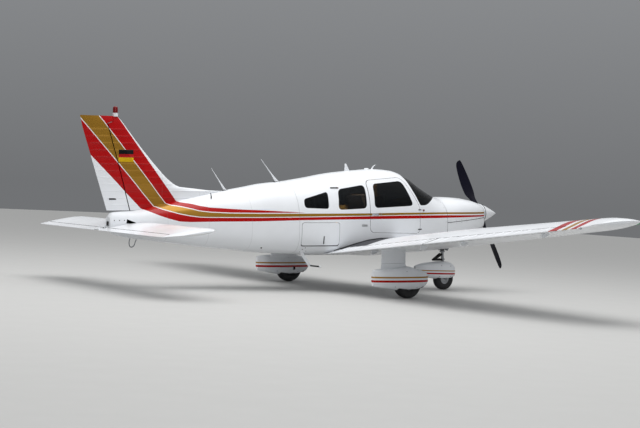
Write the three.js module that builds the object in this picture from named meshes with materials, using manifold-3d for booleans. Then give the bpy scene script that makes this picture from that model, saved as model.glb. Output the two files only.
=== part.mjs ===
// Four-seat low-wing light aircraft on fixed tricycle gear, at real size in millimetres.
// Craft frame: +X forward, +Y to port, +Z up, origin on the ground near the main axles.
// The craft frame is turned nose up to its parked attitude; the wheels stand on Z = 0.

import * as THREE from 'three';
import { mergeVertices } from 'three/addons/utils/BufferGeometryUtils.js';
import Module from 'manifold-3d';

const wasm = await Module();
wasm.setup();

const rad = THREE.MathUtils.degToRad;

// Driving dimensions
const PARKED_PITCH = rad(2.5);
const BOX_CENTRE_X = -855;
const SEAT_GAP = 0.4;
const SWING_GAP = 7;
const PANEL_GAP = 7;
const HINGE_SIDE_GAP = 6;
const HINGE_ARM_REACH = 20;
const OPEN_SLOT = 80;
const FLAP_SLOT_ROOF = 17;
const SKIN = 30;
const THIN_SKIN = 14;
const RING_POINTS = 24;
const WHEEL_SIDES = 24;
const PIN_SIDES = 10;

const MAIN_WHEEL = { x: -110, y: 1525, radius: 218.5, width: 155, rim: 98, axle: 22 };
const NOSE_WHEEL = { x: 1865, y: 0, radius: 178, width: 125, rim: 82, axle: 14 };

const WING_ROOT_Y = 620;
const WING_KINK_Y = 2690;
const WING_END_Y = 5000;
const WING_LEAD_X = 795;
const WING_TRAIL_X = -790;
const WING_ROOT_RISE = 682;
const DIHEDRAL = rad(7);
const INCIDENCE = rad(2.5);
const AILERON_END_Y = 4800;
const FLAP_START_Y = 605;
const HINGE_FRACTION = 0.83;

const PROP_RADIUS = 1015;
const PROP_X = 2622;
const PROP_Z = 1138;
const PROP_TURN = 1.014;
const SPINNER_TIP_X = 2985;
const SPINNER_BASE_X = 2595;
const SPINNER_RADIUS = 160;
const SHANK_RADIUS = 38;

const FRONT_SEAT_X = 520;
const REAR_SEAT_X = -420;
const SEAT_BASE_Z = 800;

const FIREWALL_X = 1490;
const COWL_FRONT_X = 2575;
const COWL_SPLIT = { rearX: 1400, rearZ: 1018, frontX: 2700, frontZ: 1106 };
const BULKHEAD_X = -1280;
const TAIL_JOINT_X = -1300;
const TAIL_END_X = -4105;

const STABILATOR_HALF_SPAN = 1960;
const STABILATOR_HINGE_X = -3775;
const STABILATOR_HINGE_Z = 1035;
const RUDDER_BOTTOM_Z = 1237;
const FIN_TOP_Z = 2520;
const HORN_FRONT_X = -4058;
const BEACON_X = -4012;

// Finishes
function finish(color, roughness, metalness, opacity = 1) {
  return new THREE.MeshStandardMaterial({
    color, roughness, metalness, opacity, transparent: opacity < 1,
  });
}
const WHITE = finish(0xeceef0, 0.25, 0.1);
const GLASS = finish(0x1d2326, 0.05, 0, 0.5);
const RUBBER = finish(0x17181a, 0.85, 0);
const ALLOY = finish(0xb9bcc0, 0.35, 0.9);
const STEEL = finish(0x8d9196, 0.3, 1);
const BLADE_BLACK = finish(0x1b1d22, 0.45, 0.2);
const CAST = finish(0x5c5f63, 0.6, 0.6);
const PANEL_BLACK = finish(0x222326, 0.8, 0);
const LEATHER = finish(0x6f6a62, 0.7, 0);
const CARPET = finish(0x4a4a4c, 0.95, 0);
const LAMP_RED = finish(0xa81414, 0.2, 0, 0.85);

// Solids
function fromGeometry(geometry) {
  geometry.deleteAttribute('normal');
  geometry.deleteAttribute('uv');
  const merged = mergeVertices(geometry, 1e-3);
  return solidOf(merged.attributes.position.array, merged.index.array);
}

function solidOf(positions, indices) {
  const make = (tris) => new wasm.Manifold(new wasm.Mesh({
    numProp: 3,
    vertProperties: Float32Array.from(positions),
    triVerts: Uint32Array.from(tris),
  }));
  const solid = make(indices);
  if (solid.volume() > 0) return solid;
  const reversed = Array.from(indices);
  for (let i = 0; i < reversed.length; i += 3) {
    [reversed[i + 1], reversed[i + 2]] = [reversed[i + 2], reversed[i + 1]];
  }
  return make(reversed);
}

function loft(rings) {
  const count = rings[0].length;
  const positions = [];
  const indices = [];
  for (const ring of rings) for (const p of ring) positions.push(p.x, p.y, p.z);
  for (let r = 0; r < rings.length - 1; r++) {
    for (let i = 0; i < count; i++) {
      const a = r * count + i;
      const b = r * count + (i + 1) % count;
      indices.push(a, b, b + count, a, b + count, a + count);
    }
  }
  const addCap = (ring, start, flip) => {
    const centre = new THREE.Vector3();
    ring.forEach((p) => centre.addScaledVector(p, 1 / count));
    const hub = positions.length / 3;
    positions.push(centre.x, centre.y, centre.z);
    for (let i = 0; i < count; i++) {
      const a = start + i;
      const b = start + (i + 1) % count;
      indices.push(...(flip ? [hub, a, b] : [hub, b, a]));
    }
  };
  addCap(rings[0], 0, false);
  addCap(rings[rings.length - 1], (rings.length - 1) * count, true);
  return solidOf(positions, indices);
}

function box(x0, x1, y0, y1, z0, z1) {
  const geometry = new THREE.BoxGeometry(x1 - x0, y1 - y0, z1 - z0);
  geometry.translate((x0 + x1) / 2, (y0 + y1) / 2, (z0 + z1) / 2);
  return fromGeometry(geometry);
}

// A rod of round section between two points.
function rod(from, to, radius, endRadius = radius, sides = 16) {
  const a = new THREE.Vector3(...from);
  const b = new THREE.Vector3(...to);
  const geometry = new THREE.CylinderGeometry(endRadius, radius, a.distanceTo(b), sides);
  const along = b.clone().sub(a).normalize();
  const turn = new THREE.Quaternion().setFromUnitVectors(new THREE.Vector3(0, 1, 0), along);
  geometry.applyQuaternion(turn);
  geometry.translate((a.x + b.x) / 2, (a.y + b.y) / 2, (a.z + b.z) / 2);
  return fromGeometry(geometry);
}

// An outline in side view, [x, z] corners rounded by radius, run from y0 to y1.
function sidePrism(corners, radius, y0, y1, steps = 3) {
  const shape = new THREE.Shape();
  const count = corners.length;
  corners.forEach(([x, z], i) => {
    const here = new THREE.Vector2(x, z);
    const back = new THREE.Vector2(...corners[(i + count - 1) % count]).sub(here);
    const next = new THREE.Vector2(...corners[(i + 1) % count]).sub(here);
    const reach = Math.min(radius, back.length() * 0.45, next.length() * 0.45);
    const enter = here.clone().addScaledVector(back.normalize(), reach);
    const leave = here.clone().addScaledVector(next.normalize(), reach);
    if (i === 0) shape.moveTo(enter.x, enter.y);
    else shape.lineTo(enter.x, enter.y);
    if (reach > 0.5) shape.quadraticCurveTo(x, z, leave.x, leave.y);
  });
  shape.closePath();
  const geometry = new THREE.ExtrudeGeometry(shape, {
    depth: y1 - y0, bevelEnabled: false, curveSegments: steps,
  });
  geometry.rotateX(Math.PI / 2);
  geometry.translate(0, y1, 0);
  return fromGeometry(geometry);
}

// The same outline moved outwards by a margin, about its own middle.
function widened(corners, margin) {
  const middle = [0, 1].map((k) => corners.reduce((sum, c) => sum + c[k], 0) / corners.length);
  const half = [0, 1].map((k) => {
    const values = corners.map((c) => c[k]);
    return (Math.max(...values) - Math.min(...values)) / 2;
  });
  return corners.map((c) => [0, 1].map(
    (k) => middle[k] + (c[k] - middle[k]) * (half[k] + margin) / half[k]));
}

function turned(solid, matrix) {
  return solid.transform(Array.from(matrix.elements));
}

function mirrored(solid) {
  return solid.mirror([0, 1, 0]);
}

// The fuselage is a run of rounded sections; each row is one station of it.
// columns: x, bottom, top, height of the widest point, half width, upper and lower squareness
const BODY_STATIONS = [
  [2575, 905, 1298, 1144, 175, 2.0, 3.2],
  [2540, 884, 1303, 1136, 222, 2.1, 3.2],
  [2480, 864, 1314, 1126, 290, 2.3, 3.2],
  [2400, 846, 1330, 1114, 350, 2.5, 3.1],
  [2250, 800, 1365, 1095, 415, 2.7, 3.0],
  [2000, 695, 1398, 1070, 478, 2.8, 3.2],
  [1780, 615, 1408, 1050, 510, 2.7, 3.4],
  [1600, 582, 1408, 1040, 526, 2.5, 3.6],
  [1490, 572, 1420, 1035, 536, 2.4, 3.7],
  [1400, 566, 1452, 1030, 545, 2.35, 3.8],
  [1250, 560, 1534, 1025, 552, 2.35, 3.9],
  [1050, 553, 1647, 1015, 562, 2.4, 4.0],
  [900, 550, 1741, 1010, 567, 2.4, 4.0],
  [650, 548, 1826, 1005, 571, 2.4, 4.0],
  [400, 548, 1842, 1000, 572, 2.4, 4.0],
  [0, 548, 1818, 1000, 572, 2.4, 4.0],
  [-400, 550, 1780, 1000, 568, 2.4, 4.0],
  [-900, 558, 1700, 1000, 550, 2.4, 3.8],
  [-1300, 582, 1645, 1010, 520, 2.3, 3.6],
  [-1650, 606, 1612, 1020, 482, 2.3, 3.4],
  [-1900, 626, 1570, 1025, 450, 2.3, 3.2],
  [-2200, 660, 1522, 1035, 405, 2.2, 3.0],
  [-2700, 712, 1436, 1040, 320, 2.2, 2.8],
  [-3300, 790, 1324, 1045, 222, 2.2, 2.6],
  [-3760, 850, 1229, 1042, 146, 2.3, 2.5],
  [-4000, 898, 1217, 1040, 108, 2.5, 2.5],
  [-4075, 936, 1202, 1040, 90, 2.5, 2.5],
  [-4105, 962, 1160, 1040, 76, 2.5, 2.5],
];

function bodyStation(x) {
  const last = BODY_STATIONS.length - 1;
  let i = 0;
  while (i < last - 1 && x < BODY_STATIONS[i + 1][0]) i++;
  const ahead = BODY_STATIONS[i];
  const behind = BODY_STATIONS[i + 1];
  const share = (x - ahead[0]) / (behind[0] - ahead[0]);
  return ahead.map((value, k) => value + (behind[k] - value) * share);
}

function bodyRing(x, inset) {
  const [, bottom, top, middle, half, upper, lower] = bodyStation(x);
  const ring = [];
  for (let i = 0; i < RING_POINTS; i++) {
    const angle = 2 * Math.PI * (i + 0.5) / RING_POINTS;
    const c = Math.cos(angle);
    const s = Math.sin(angle);
    const power = 2 / (s > 0 ? upper : lower);
    const height = (s > 0 ? top - middle : middle - bottom) - inset;
    ring.push(new THREE.Vector3(
      x,
      (half - inset) * Math.sign(c) * Math.abs(c) ** power,
      middle + height * Math.sign(s) * Math.abs(s) ** power,
    ));
  }
  return ring;
}

// The body between two stations, its surface moved inwards by inset.
function bodyLoft(front, back, inset) {
  const stops = BODY_STATIONS.map((row) => row[0]).filter((x) => x < front - 1 && x > back + 1);
  return loft([front, ...stops, back].map((x) => bodyRing(x, inset)));
}

function bodyShell(front, back, wall) {
  return bodyLoft(front, back, 0).subtract(bodyLoft(front + 1, back - 1, wall));
}

// Aerofoils, in shares of the chord. columns: along, above, below
const WING_FOIL = [
  [0.0125, 0.0195, -0.0140], [0.05, 0.0395, -0.0255], [0.12, 0.0615, -0.0375],
  [0.25, 0.0855, -0.0497], [0.40, 0.0964, -0.0536], [0.55, 0.0891, -0.0453],
  [0.70, 0.0654, -0.0265], [0.83, 0.0378, -0.0085], [1.0, 0.0025, -0.0025],
];
const TAIL_FOIL = [
  [0.0125, 0.0155, -0.0155], [0.05, 0.0296, -0.0296], [0.12, 0.0410, -0.0410],
  [0.28, 0.0500, -0.0500], [0.45, 0.0468, -0.0468], [0.62, 0.0367, -0.0367],
  [0.80, 0.0219, -0.0219], [1.0, 0.0020, -0.0020],
];

// One section of a flying surface at a span station, in the plane across Y.
// A station names span, lead and trail (x), rise and drop (z of both ends) and thick (a share).
function foilRing(foil, station) {
  const { span, lead, trail, rise, drop, thick = 1 } = station;
  const chord = lead - trail;
  const at = (along, off) => new THREE.Vector3(
    lead - chord * along, span, rise + (drop - rise) * along + off * chord * thick);
  const above = foil.map(([along, up]) => at(along, up));
  const below = foil.map(([along, , down]) => at(along, down)).reverse();
  return [at(0, 0), ...above, ...below];
}

function foilLoft(foil, stations) {
  return loft(stations.map((station) => foilRing(foil, station)));
}

function blendStations(a, b, share) {
  const mixed = {};
  for (const key of Object.keys(a)) mixed[key] = a[key] + (b[key] - a[key]) * share;
  return mixed;
}

function stationBetween(stations, span) {
  let i = 0;
  while (i < stations.length - 2 && span > stations[i + 1].span) i++;
  const share = (span - stations[i].span) / (stations[i + 1].span - stations[i].span);
  return blendStations(stations[i], stations[i + 1], share);
}

// The hinge of a control surface at a span station: the middle of the section there.
function hingeAt(foil, stations, span, along) {
  const st = stationBetween(stations, span);
  const chord = st.lead - st.trail;
  const row = foil.findIndex(([f]) => f >= along);
  const [f0, up0, down0] = foil[row - 1];
  const [f1, up1, down1] = foil[row];
  const share = (along - f0) / (f1 - f0);
  const up = (up0 + (up1 - up0) * share) * chord * st.thick;
  const down = (down0 + (down1 - down0) * share) * chord * st.thick;
  const line = st.rise + (st.drop - st.rise) * along;
  return {
    x: st.lead - chord * along, y: span, z: line + (up + down) / 2, radius: (up - down) / 2,
  };
}

// All that lies behind a row of hinge points, with a round nose about the hinge line.
function behindHinge(hinges, margin, endMargin) {
  const reach = 900;
  const arcFrom = margin > 0 ? rad(80) : rad(90);
  const run = ({ x, y, z, radius }) => {
    const ring = [];
    for (let i = 0; i <= 6; i++) {
      const angle = arcFrom - i * 2 * arcFrom / 6;
      const [across, off] = [Math.cos(angle), Math.sin(angle)];
      ring.push(new THREE.Vector3(x + (radius + margin) * across, y, z + (radius + margin) * off));
    }
    const edge = ring[0].x;
    ring.push(new THREE.Vector3(edge, y, z - 220), new THREE.Vector3(x - reach, y, z - 220));
    ring.push(new THREE.Vector3(x - reach, y, z + 220), new THREE.Vector3(edge, y, z + 220));
    return ring;
  };
  const last = hinges.length - 1;
  const beyond = (end, next) => blendStations(end, next, -endMargin / Math.abs(next.y - end.y));
  return loft([
    beyond(hinges[0], hinges[1]), ...hinges.slice(1, last), beyond(hinges[last], hinges[last - 1]),
  ].map(run));
}

// A hinge part way along a surface: the fixed arm with its pin, and the room they need in the
// surface. Sizes are half-heights, half-widths and radii.
function surfaceHinge(inner, outer, y, { arm, plate, pin, reach, roof }) {
  const share = (y - inner.y) / (outer.y - inner.y);
  const mix = (key) => inner[key] + (outer[key] - inner[key]) * share;
  const [x, z] = [mix('x'), mix('z')];
  const front = x + mix('radius') + SWING_GAP + HINGE_ARM_REACH;
  const line = new THREE.Vector3(
    outer.x - inner.x, outer.y - inner.y, outer.z - inner.z).normalize();
  const end = (far) => new THREE.Vector3(x, y, z).addScaledVector(line, far).toArray();
  const fixed = box(x, front, y - plate, y + plate, z - arm, z + arm)
    .add(rod(end(-plate), end(plate), arm, arm, PIN_SIDES))
    .add(rod(end(-reach), end(reach), pin, pin, PIN_SIDES));
  const side = plate + HINGE_SIDE_GAP;
  const room = box(x - arm - HINGE_SIDE_GAP, front, y - side, y + side, z - OPEN_SLOT, z + roof)
    .add(rod(end(-reach - 2), end(reach + 2), pin + SEAT_GAP, pin + SEAT_GAP, PIN_SIDES));
  return { fixed, room };
}

// Main planes
const rise = (y) => WING_ROOT_RISE + (y - WING_ROOT_Y) * Math.tan(DIHEDRAL);
function wingStation(span, lead, trail, thick = 1, lift = 0) {
  const z = rise(span) + lift;
  const twist = Math.tan(INCIDENCE) * (lead - trail);
  return { span, lead, trail, rise: z, drop: z - twist, thick };
}
const WING_STATIONS = [
  wingStation(400, WING_LEAD_X, WING_TRAIL_X),
  wingStation(WING_KINK_Y, WING_LEAD_X, WING_TRAIL_X),
  wingStation(WING_END_Y, 655, -425),
  wingStation(5180, 622, -405, 0.85, 4),
  wingStation(5285, 560, -385, 0.6, 10),
  wingStation(5335, 430, -340, 0.25, 16),
];

const bodyOutside = bodyLoft(COWL_FRONT_X, TAIL_END_X, -SEAT_GAP);
const wingWhole = foilLoft(WING_FOIL, WING_STATIONS);

const WING_HINGE = { arm: 11, plate: 5, pin: 5, reach: 25 };
function surfacePair(innerY, outerY, hingeYs, roof) {
  const inner = hingeAt(WING_FOIL, WING_STATIONS, innerY, HINGE_FRACTION);
  const outer = hingeAt(WING_FOIL, WING_STATIONS, outerY, HINGE_FRACTION);
  let piece = wingWhole.intersect(behindHinge([inner, outer], 0, 0));
  const arms = [];
  for (const y of hingeYs) {
    const { fixed, room } = surfaceHinge(inner, outer, y, { ...WING_HINGE, roof });
    piece = piece.subtract(room);
    arms.push(fixed);
  }
  return { cut: behindHinge([inner, outer], SWING_GAP, SWING_GAP), piece, arms };
}
const FLAP_HINGES = [1140, 2250];
const AILERON_HINGES = [3050, 4400];
const flap = surfacePair(FLAP_START_Y + SWING_GAP, WING_KINK_Y - SWING_GAP, FLAP_HINGES, FLAP_SLOT_ROOF);
const aileron = surfacePair(WING_KINK_Y + SWING_GAP, AILERON_END_Y, AILERON_HINGES, OPEN_SLOT);

// A plate under the wing ahead of each hinge
const HINGE_PLATE = { ahead: 14, length: 150, half: 9, depth: 60 };
function hingePlate(y) {
  const { ahead, length, half, depth } = HINGE_PLATE;
  const hinge = hingeAt(WING_FOIL, WING_STATIONS, y, HINGE_FRACTION);
  const front = hinge.x + hinge.radius + ahead;
  return box(front, front + length, y - half, y + half, hinge.z - hinge.radius - depth, hinge.z);
}

let wingPort = wingWhole.subtract(bodyOutside).subtract(flap.cut).subtract(aileron.cut);
for (const arm of [...flap.arms, ...aileron.arms]) wingPort = wingPort.add(arm);
for (const y of [...FLAP_HINGES, ...AILERON_HINGES]) wingPort = wingPort.add(hingePlate(y));

// Pitot mast, under the port plane only
const mast = sidePrism([[170, 960], [40, 960], [80, 800], [190, 812]], 8, 3080, 3104)
  .subtract(wingWhole.translate(0, 0, -1));
const wingLeft = wingPort.add(mast.translate(0, 0, 2));

// Vertical tail, laid out as a surface along Y and stood up about X
function tailStation(span, lead, trail, thick) {
  return { span, lead, trail, rise: 0, drop: 0, thick };
}
const FIN_STATIONS = [
  tailStation(1080, -2300, -4076, 0.5),
  tailStation(1500, -2260, -4214, 0.5),
  tailStation(1533, -2870, -4225, 0.66),
  tailStation(1570, -3035, -4237, 0.8),
  tailStation(1640, -3157, -4260, 0.92),
  tailStation(1760, -3294, -4299, 1.0),
  tailStation(2117, -3631, -4416, 1.0),
  tailStation(2360, -3837, -4496, 0.97),
  tailStation(2485, -3942, -4527, 0.92),
  tailStation(2510, -3966, -4533, 0.8),
  tailStation(FIN_TOP_Z, -3984, -4535, 0.5),
];
// columns: z, x of the rudder's hinge line at both of its ends
const RUDDER_HINGE = { low: [RUDDER_BOTTOM_Z, -3803], high: [2428, -4163] };
const upright = new THREE.Matrix4().makeRotationX(Math.PI / 2);
const finWhole = foilLoft(TAIL_FOIL, FIN_STATIONS);

function rudderHinge(z) {
  const [z0, x0] = RUDDER_HINGE.low;
  const [z1, x1] = RUDDER_HINGE.high;
  const x = x0 + (x1 - x0) * (z - z0) / (z1 - z0);
  const st = stationBetween(FIN_STATIONS, z);
  const hinge = hingeAt(TAIL_FOIL, FIN_STATIONS, z, (st.lead - x) / (st.lead - st.trail));
  return { ...hinge, x };
}
const rudderLow = rudderHinge(RUDDER_HINGE.low[0]);
const rudderHigh = rudderHinge(RUDDER_HINGE.high[0]);
const rudderRows = FIN_STATIONS.map((row) => row.span)
  .filter((z) => z > rudderLow.y && z < rudderHigh.y).map(rudderHinge);
const ABOVE_FIN = 90;
const TAIL_REACH = [-5000, -3700, -200, 200];
const HORN = { low: 2420, frontLow: 2450, backX: -4146, behindX: -4650, half: 120 };
function rudderRegion(margin) {
  const below = behindHinge([rudderLow, ...rudderRows, rudderHigh], margin, margin);
  const horn = sidePrism([
    [HORN.backX + margin, HORN.low - margin], [HORN_FRONT_X + margin, HORN.frontLow - margin],
    [HORN_FRONT_X + margin, FIN_TOP_Z + ABOVE_FIN], [HORN.behindX, FIN_TOP_Z + ABOVE_FIN],
    [HORN.behindX, HORN.low - margin],
  ], 0, -HORN.half, HORN.half);
  const hornFlat = turned(horn, new THREE.Matrix4().makeRotationX(-Math.PI / 2));
  return below.add(hornFlat);
}
const RUDDER_ARM = { arm: 10, plate: 5, pin: 5, reach: 25, roof: OPEN_SLOT };
const RUDDER_ARM_Z = 2150;
const rudderArm = surfaceHinge(rudderLow, rudderHigh, RUDDER_ARM_Z, RUDDER_ARM);
const fin = turned(finWhole.subtract(rudderRegion(SWING_GAP)).add(rudderArm.fixed), upright)
  .subtract(bodyOutside)
  .subtract(box(...TAIL_REACH, 900, RUDDER_BOTTOM_Z));
// The rudder's lower pin stands on the tail cone, along the hinge line. Its foot and its top
// are measured from the rudder's lower edge; the hole is a little longer and wider.
const RUDDER_PIN = { radius: 7, foot: 24, top: 30, hole: 34 };
function rudderPin(radius, foot, top) {
  const at = (z) => [rudderHinge(z).x, 0, z];
  return rod(at(RUDDER_BOTTOM_Z - foot), at(RUDDER_BOTTOM_Z + top), radius, radius, PIN_SIDES);
}
const rudder = turned(finWhole.intersect(rudderRegion(0)).subtract(rudderArm.room), upright)
  .intersect(box(...TAIL_REACH, RUDDER_BOTTOM_Z, FIN_TOP_Z + ABOVE_FIN))
  .subtract(rudderPin(RUDDER_PIN.radius + SEAT_GAP, RUDDER_PIN.foot, RUDDER_PIN.hole));

// Stabilator: all of it swings about its spar tube, with a tab along its trailing edge
const STABILATOR_STATIONS = [
  { span: 60, lead: -3528, trail: -4290, rise: 1052, drop: 976, thick: 1.05 },
  { span: 1780, lead: -3528, trail: -4290, rise: 1052, drop: 976, thick: 1.05 },
  { span: 1850, lead: -3528, trail: -4272, rise: 1052, drop: 978, thick: 1.05 },
  { span: 1905, lead: -3538, trail: -4225, rise: 1051, drop: 982, thick: 0.96 },
  { span: 1940, lead: -3562, trail: -4150, rise: 1048, drop: 989, thick: 0.78 },
  { span: STABILATOR_HALF_SPAN, lead: -3606, trail: -4040, rise: 1044, drop: 1000, thick: 0.46 },
];
const TAB_ALONG = 0.82;
const TAB_HALF_SPAN = 1780;
const TAB_ROOT_Y = 64;
// The root keeps clear of the tail cone's widest outline, at every angle of the surface.
const ROOT = { gap: 8, fromX: -3300, low: 860, high: 1160 };
function tailPlan(z) {
  const rows = BODY_STATIONS.filter(([x]) => x <= ROOT.fromX)
    .map(([x, , , , half]) => [x, half + ROOT.gap]);
  rows.push([TAIL_END_X - ROOT.gap, rows[rows.length - 1][1]]);
  return [...rows, ...rows.map(([x, half]) => [x, -half]).reverse()]
    .map(([x, y]) => new THREE.Vector3(x, y, z));
}
const stabHalf = foilLoft(TAIL_FOIL, STABILATOR_STATIONS)
  .subtract(loft([tailPlan(ROOT.low), tailPlan(ROOT.high)]));
const tabInner = hingeAt(TAIL_FOIL, STABILATOR_STATIONS, TAB_ROOT_Y, TAB_ALONG);
const tabOuter = hingeAt(TAIL_FOIL, STABILATOR_STATIONS, TAB_HALF_SPAN, TAB_ALONG);
const TAB_ARM = { arm: 5, plate: 3, pin: 3, reach: 18, roof: OPEN_SLOT };
const TAB_HINGES = [520, 1400];
const tabArms = TAB_HINGES.map((y) => surfaceHinge(tabInner, tabOuter, y, TAB_ARM));
let halfPlane = stabHalf.subtract(behindHinge([tabInner, tabOuter], SWING_GAP, SWING_GAP));
let tabHalf = stabHalf.intersect(behindHinge([tabInner, tabOuter], 0, 0));
for (const { fixed, room } of tabArms) {
  halfPlane = halfPlane.add(fixed);
  tabHalf = tabHalf.subtract(room);
}
const SPAR_TUBE = { half: 185, radius: 26, gap: 0.6 };
const sparRod = (half, radius) => rod(
  [STABILATOR_HINGE_X, -half, STABILATOR_HINGE_Z],
  [STABILATOR_HINGE_X, half, STABILATOR_HINGE_Z], radius, radius, 24);
const sparTube = sparRod(SPAR_TUBE.half, SPAR_TUBE.radius);
const stabilator = halfPlane.add(mirrored(halfPlane)).add(sparTube);
const TAB_BRIDGE = { back: -4276, front: -4190, half: 68, below: 9, above: 3 };
const tabBridge = box(
  TAB_BRIDGE.back, TAB_BRIDGE.front, -TAB_BRIDGE.half, TAB_BRIDGE.half,
  tabInner.z - TAB_BRIDGE.below, tabInner.z + TAB_BRIDGE.above);
const tab = tabHalf.add(mirrored(tabHalf)).add(tabBridge);

// Tail cone: a hollow shell, with a round opening each side for the spar tube
const TAIL_CUT_HALF = 400;
const TAIL_SHELL_END_X = -3650;
const TAIL_HOLLOW_END_X = -3960;
const ROOT_SLOT = [[-3892, 1062], [-3880, 1122], [-3752, 1072], [-3752, 1058]];
const sparOpening = sparRod(TAIL_CUT_HALF, SPAR_TUBE.radius + SPAR_TUBE.gap);
const rootSlot = sidePrism(ROOT_SLOT, 0, -TAIL_CUT_HALF, TAIL_CUT_HALF);
const tailCone = bodyShell(TAIL_JOINT_X - SEAT_GAP, TAIL_SHELL_END_X, THIN_SKIN)
  .add(bodyLoft(TAIL_SHELL_END_X, TAIL_END_X, 0)
    .subtract(bodyLoft(TAIL_SHELL_END_X + 1, TAIL_HOLLOW_END_X, THIN_SKIN)))
  .subtract(sparOpening).subtract(rootSlot)
  .add(rudderPin(RUDDER_PIN.radius, RUDDER_PIN.foot, RUDDER_PIN.top));

// A door hinge about local Z: the fixed leaf lies along +X, the moving leaf along -X, and
// inboard is +Y. Both leaves reach inboard by depth, into the panels that carry them.
const KNUCKLE = 8.5;
const DOOR_PIN = 4.5;
const LEAF = {
  half: 22, inner: 9, outboard: -6, thick: 2, neck: 12, movingNeck: 24, foot: 20, end: 46, low: -14,
};
function doorHinge(frame, depth) {
  const { half, inner, thick, neck, movingNeck, foot, end, low } = LEAF;
  const round = (z, radius) => rod([0, 0, -z], [0, 0, z], radius, radius, PIN_SIDES);
  const leaf = (x0, x1, y1, z0, z1) => box(x0, x1, LEAF.outboard, y1, z0, z1);
  const fixed = round(half, KNUCKLE).add(leaf(0, neck, thick, -half, half))
    .subtract(round(inner, KNUCKLE + inner)).add(round(half, DOOR_PIN))
    .add(leaf(neck - 1, end, depth, -half, half));
  const knuckle = inner - SEAT_GAP;
  const moving = round(knuckle, KNUCKLE).add(leaf(-movingNeck, 0, thick, -knuckle, knuckle))
    .subtract(round(half + 2, DOOR_PIN + SEAT_GAP)).add(leaf(-end, -foot, depth, low, half));
  return { fixed: turned(fixed, frame), moving: turned(moving, frame) };
}

// Cabin openings in side view, [x, z] corners
const WINDOWS = {
  front: [[33, 1262], [69, 1623], [645, 1671], [790, 1294]],
  middle: [[-630, 1239], [-582, 1540], [-88, 1611], [-112, 1259]],
  rear: [[-1199, 1271], [-1196, 1397], [-769, 1508], [-795, 1255]],
};
const WINDOW_RADIUS = { front: 75, middle: 75, rear: 50 };
const SCREEN = [
  [930, 1297], [812, 1560], [785, 1655], [755, 1745], [745, 1900], [1480, 1900], [1440, 1428],
  [1296, 1406], [1239, 1384], [1175, 1355], [1118, 1325], [1041, 1299],
];
const SCREEN_RADIUS = 30;
const CABIN_DOOR = [[-62, 898], [-45, 1675], [665, 1728], [911, 1290], [911, 864]];
const CABIN_DOOR_RADIUS = 90;
const BAGGAGE_DOOR = [[-1262, 712], [-1262, 1061], [-612, 1055], [-612, 704]];
const BAGGAGE_DOOR_RADIUS = 45;

const cabinWhole = bodyShell(FIREWALL_X - SEAT_GAP, TAIL_JOINT_X, SKIN);
const PANE = { outer: 9, inner: 17 };
const glassLayer = bodyLoft(FIREWALL_X - 1, TAIL_JOINT_X + 1, PANE.outer)
  .subtract(bodyLoft(FIREWALL_X, TAIL_JOINT_X, PANE.inner));

const STARBOARD = [-900, 0];
const PORT = [0, 900];
const BOTH = [-900, 900];
const DOOR_AXIS = { x: 918, y: -577, heights: [927, 1225], depth: 34 };
const doorHinges = DOOR_AXIS.heights.map((z) => doorHinge(
  new THREE.Matrix4().makeTranslation(DOOR_AXIS.x, DOOR_AXIS.y, z), DOOR_AXIS.depth));
const BAGGAGE_AXIS = { from: [-760, -567, 1056], to: [-1110, -546.5, 1056], depth: 24 };
const baggageLine = new THREE.Vector3(...BAGGAGE_AXIS.to)
  .sub(new THREE.Vector3(...BAGGAGE_AXIS.from)).normalize();
const up = new THREE.Vector3(0, 0, 1);
const baggageFrame = new THREE.Matrix4().makeBasis(
  up, new THREE.Vector3().crossVectors(baggageLine, up), baggageLine);
const baggageHinges = [BAGGAGE_AXIS.from, BAGGAGE_AXIS.to].map((at) => doorHinge(
  new THREE.Matrix4().makeTranslation(...at).multiply(baggageFrame), BAGGAGE_AXIS.depth));
const fixedLeaves = [...doorHinges, ...baggageHinges].map(({ fixed }) => fixed);

const windowHole = (name, range) => sidePrism(WINDOWS[name], WINDOW_RADIUS[name], ...range);
let cabinShell = cabinWhole
  .subtract(sidePrism(CABIN_DOOR, CABIN_DOOR_RADIUS, ...STARBOARD))
  .subtract(sidePrism(BAGGAGE_DOOR, BAGGAGE_DOOR_RADIUS, ...STARBOARD))
  .subtract(sidePrism(SCREEN, SCREEN_RADIUS, ...BOTH))
  .subtract(windowHole('front', PORT)).subtract(windowHole('middle', BOTH))
  .subtract(windowHole('rear', BOTH));
for (const leaf of fixedLeaves) cabinShell = cabinShell.add(leaf);

const inside = bodyLoft(FIREWALL_X + 1, TAIL_JOINT_X - 1, SKIN);
const outsideDoor = bodyLoft(FIREWALL_X, TAIL_JOINT_X, 0);
function doorPanel(outline, radius) {
  const prism = sidePrism(widened(outline, -PANEL_GAP), radius - PANEL_GAP, ...STARBOARD);
  return outsideDoor.intersect(prism).subtract(inside);
}
// The door's upper aft corner swings inboard as it opens, so it has a wider gap there.
const DOOR_CORNER_GAP = 8;
const BAGGAGE_LOWER_GAP = 9;
let cabinDoor = doorPanel(
  CABIN_DOOR.map(([x, z], i) => [i === 1 ? x + DOOR_CORNER_GAP : x, z]), CABIN_DOOR_RADIUS,
).subtract(windowHole('front', STARBOARD));
// The baggage door's lower edge swings down before it swings out.
let baggageDoor = doorPanel(
  BAGGAGE_DOOR.map(([x, z], i) => [x, i % 3 === 0 ? z + BAGGAGE_LOWER_GAP : z]),
  BAGGAGE_DOOR_RADIUS);
for (const { moving } of doorHinges) cabinDoor = cabinDoor.add(moving);
for (const { moving } of baggageHinges) baggageDoor = baggageDoor.add(moving);

function pane(outline, radius, sideRange) {
  return glassLayer.intersect(sidePrism(widened(outline, -SEAT_GAP), radius, ...sideRange));
}
const windowPane = (name, range) => pane(WINDOWS[name], WINDOW_RADIUS[name], range);

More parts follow.
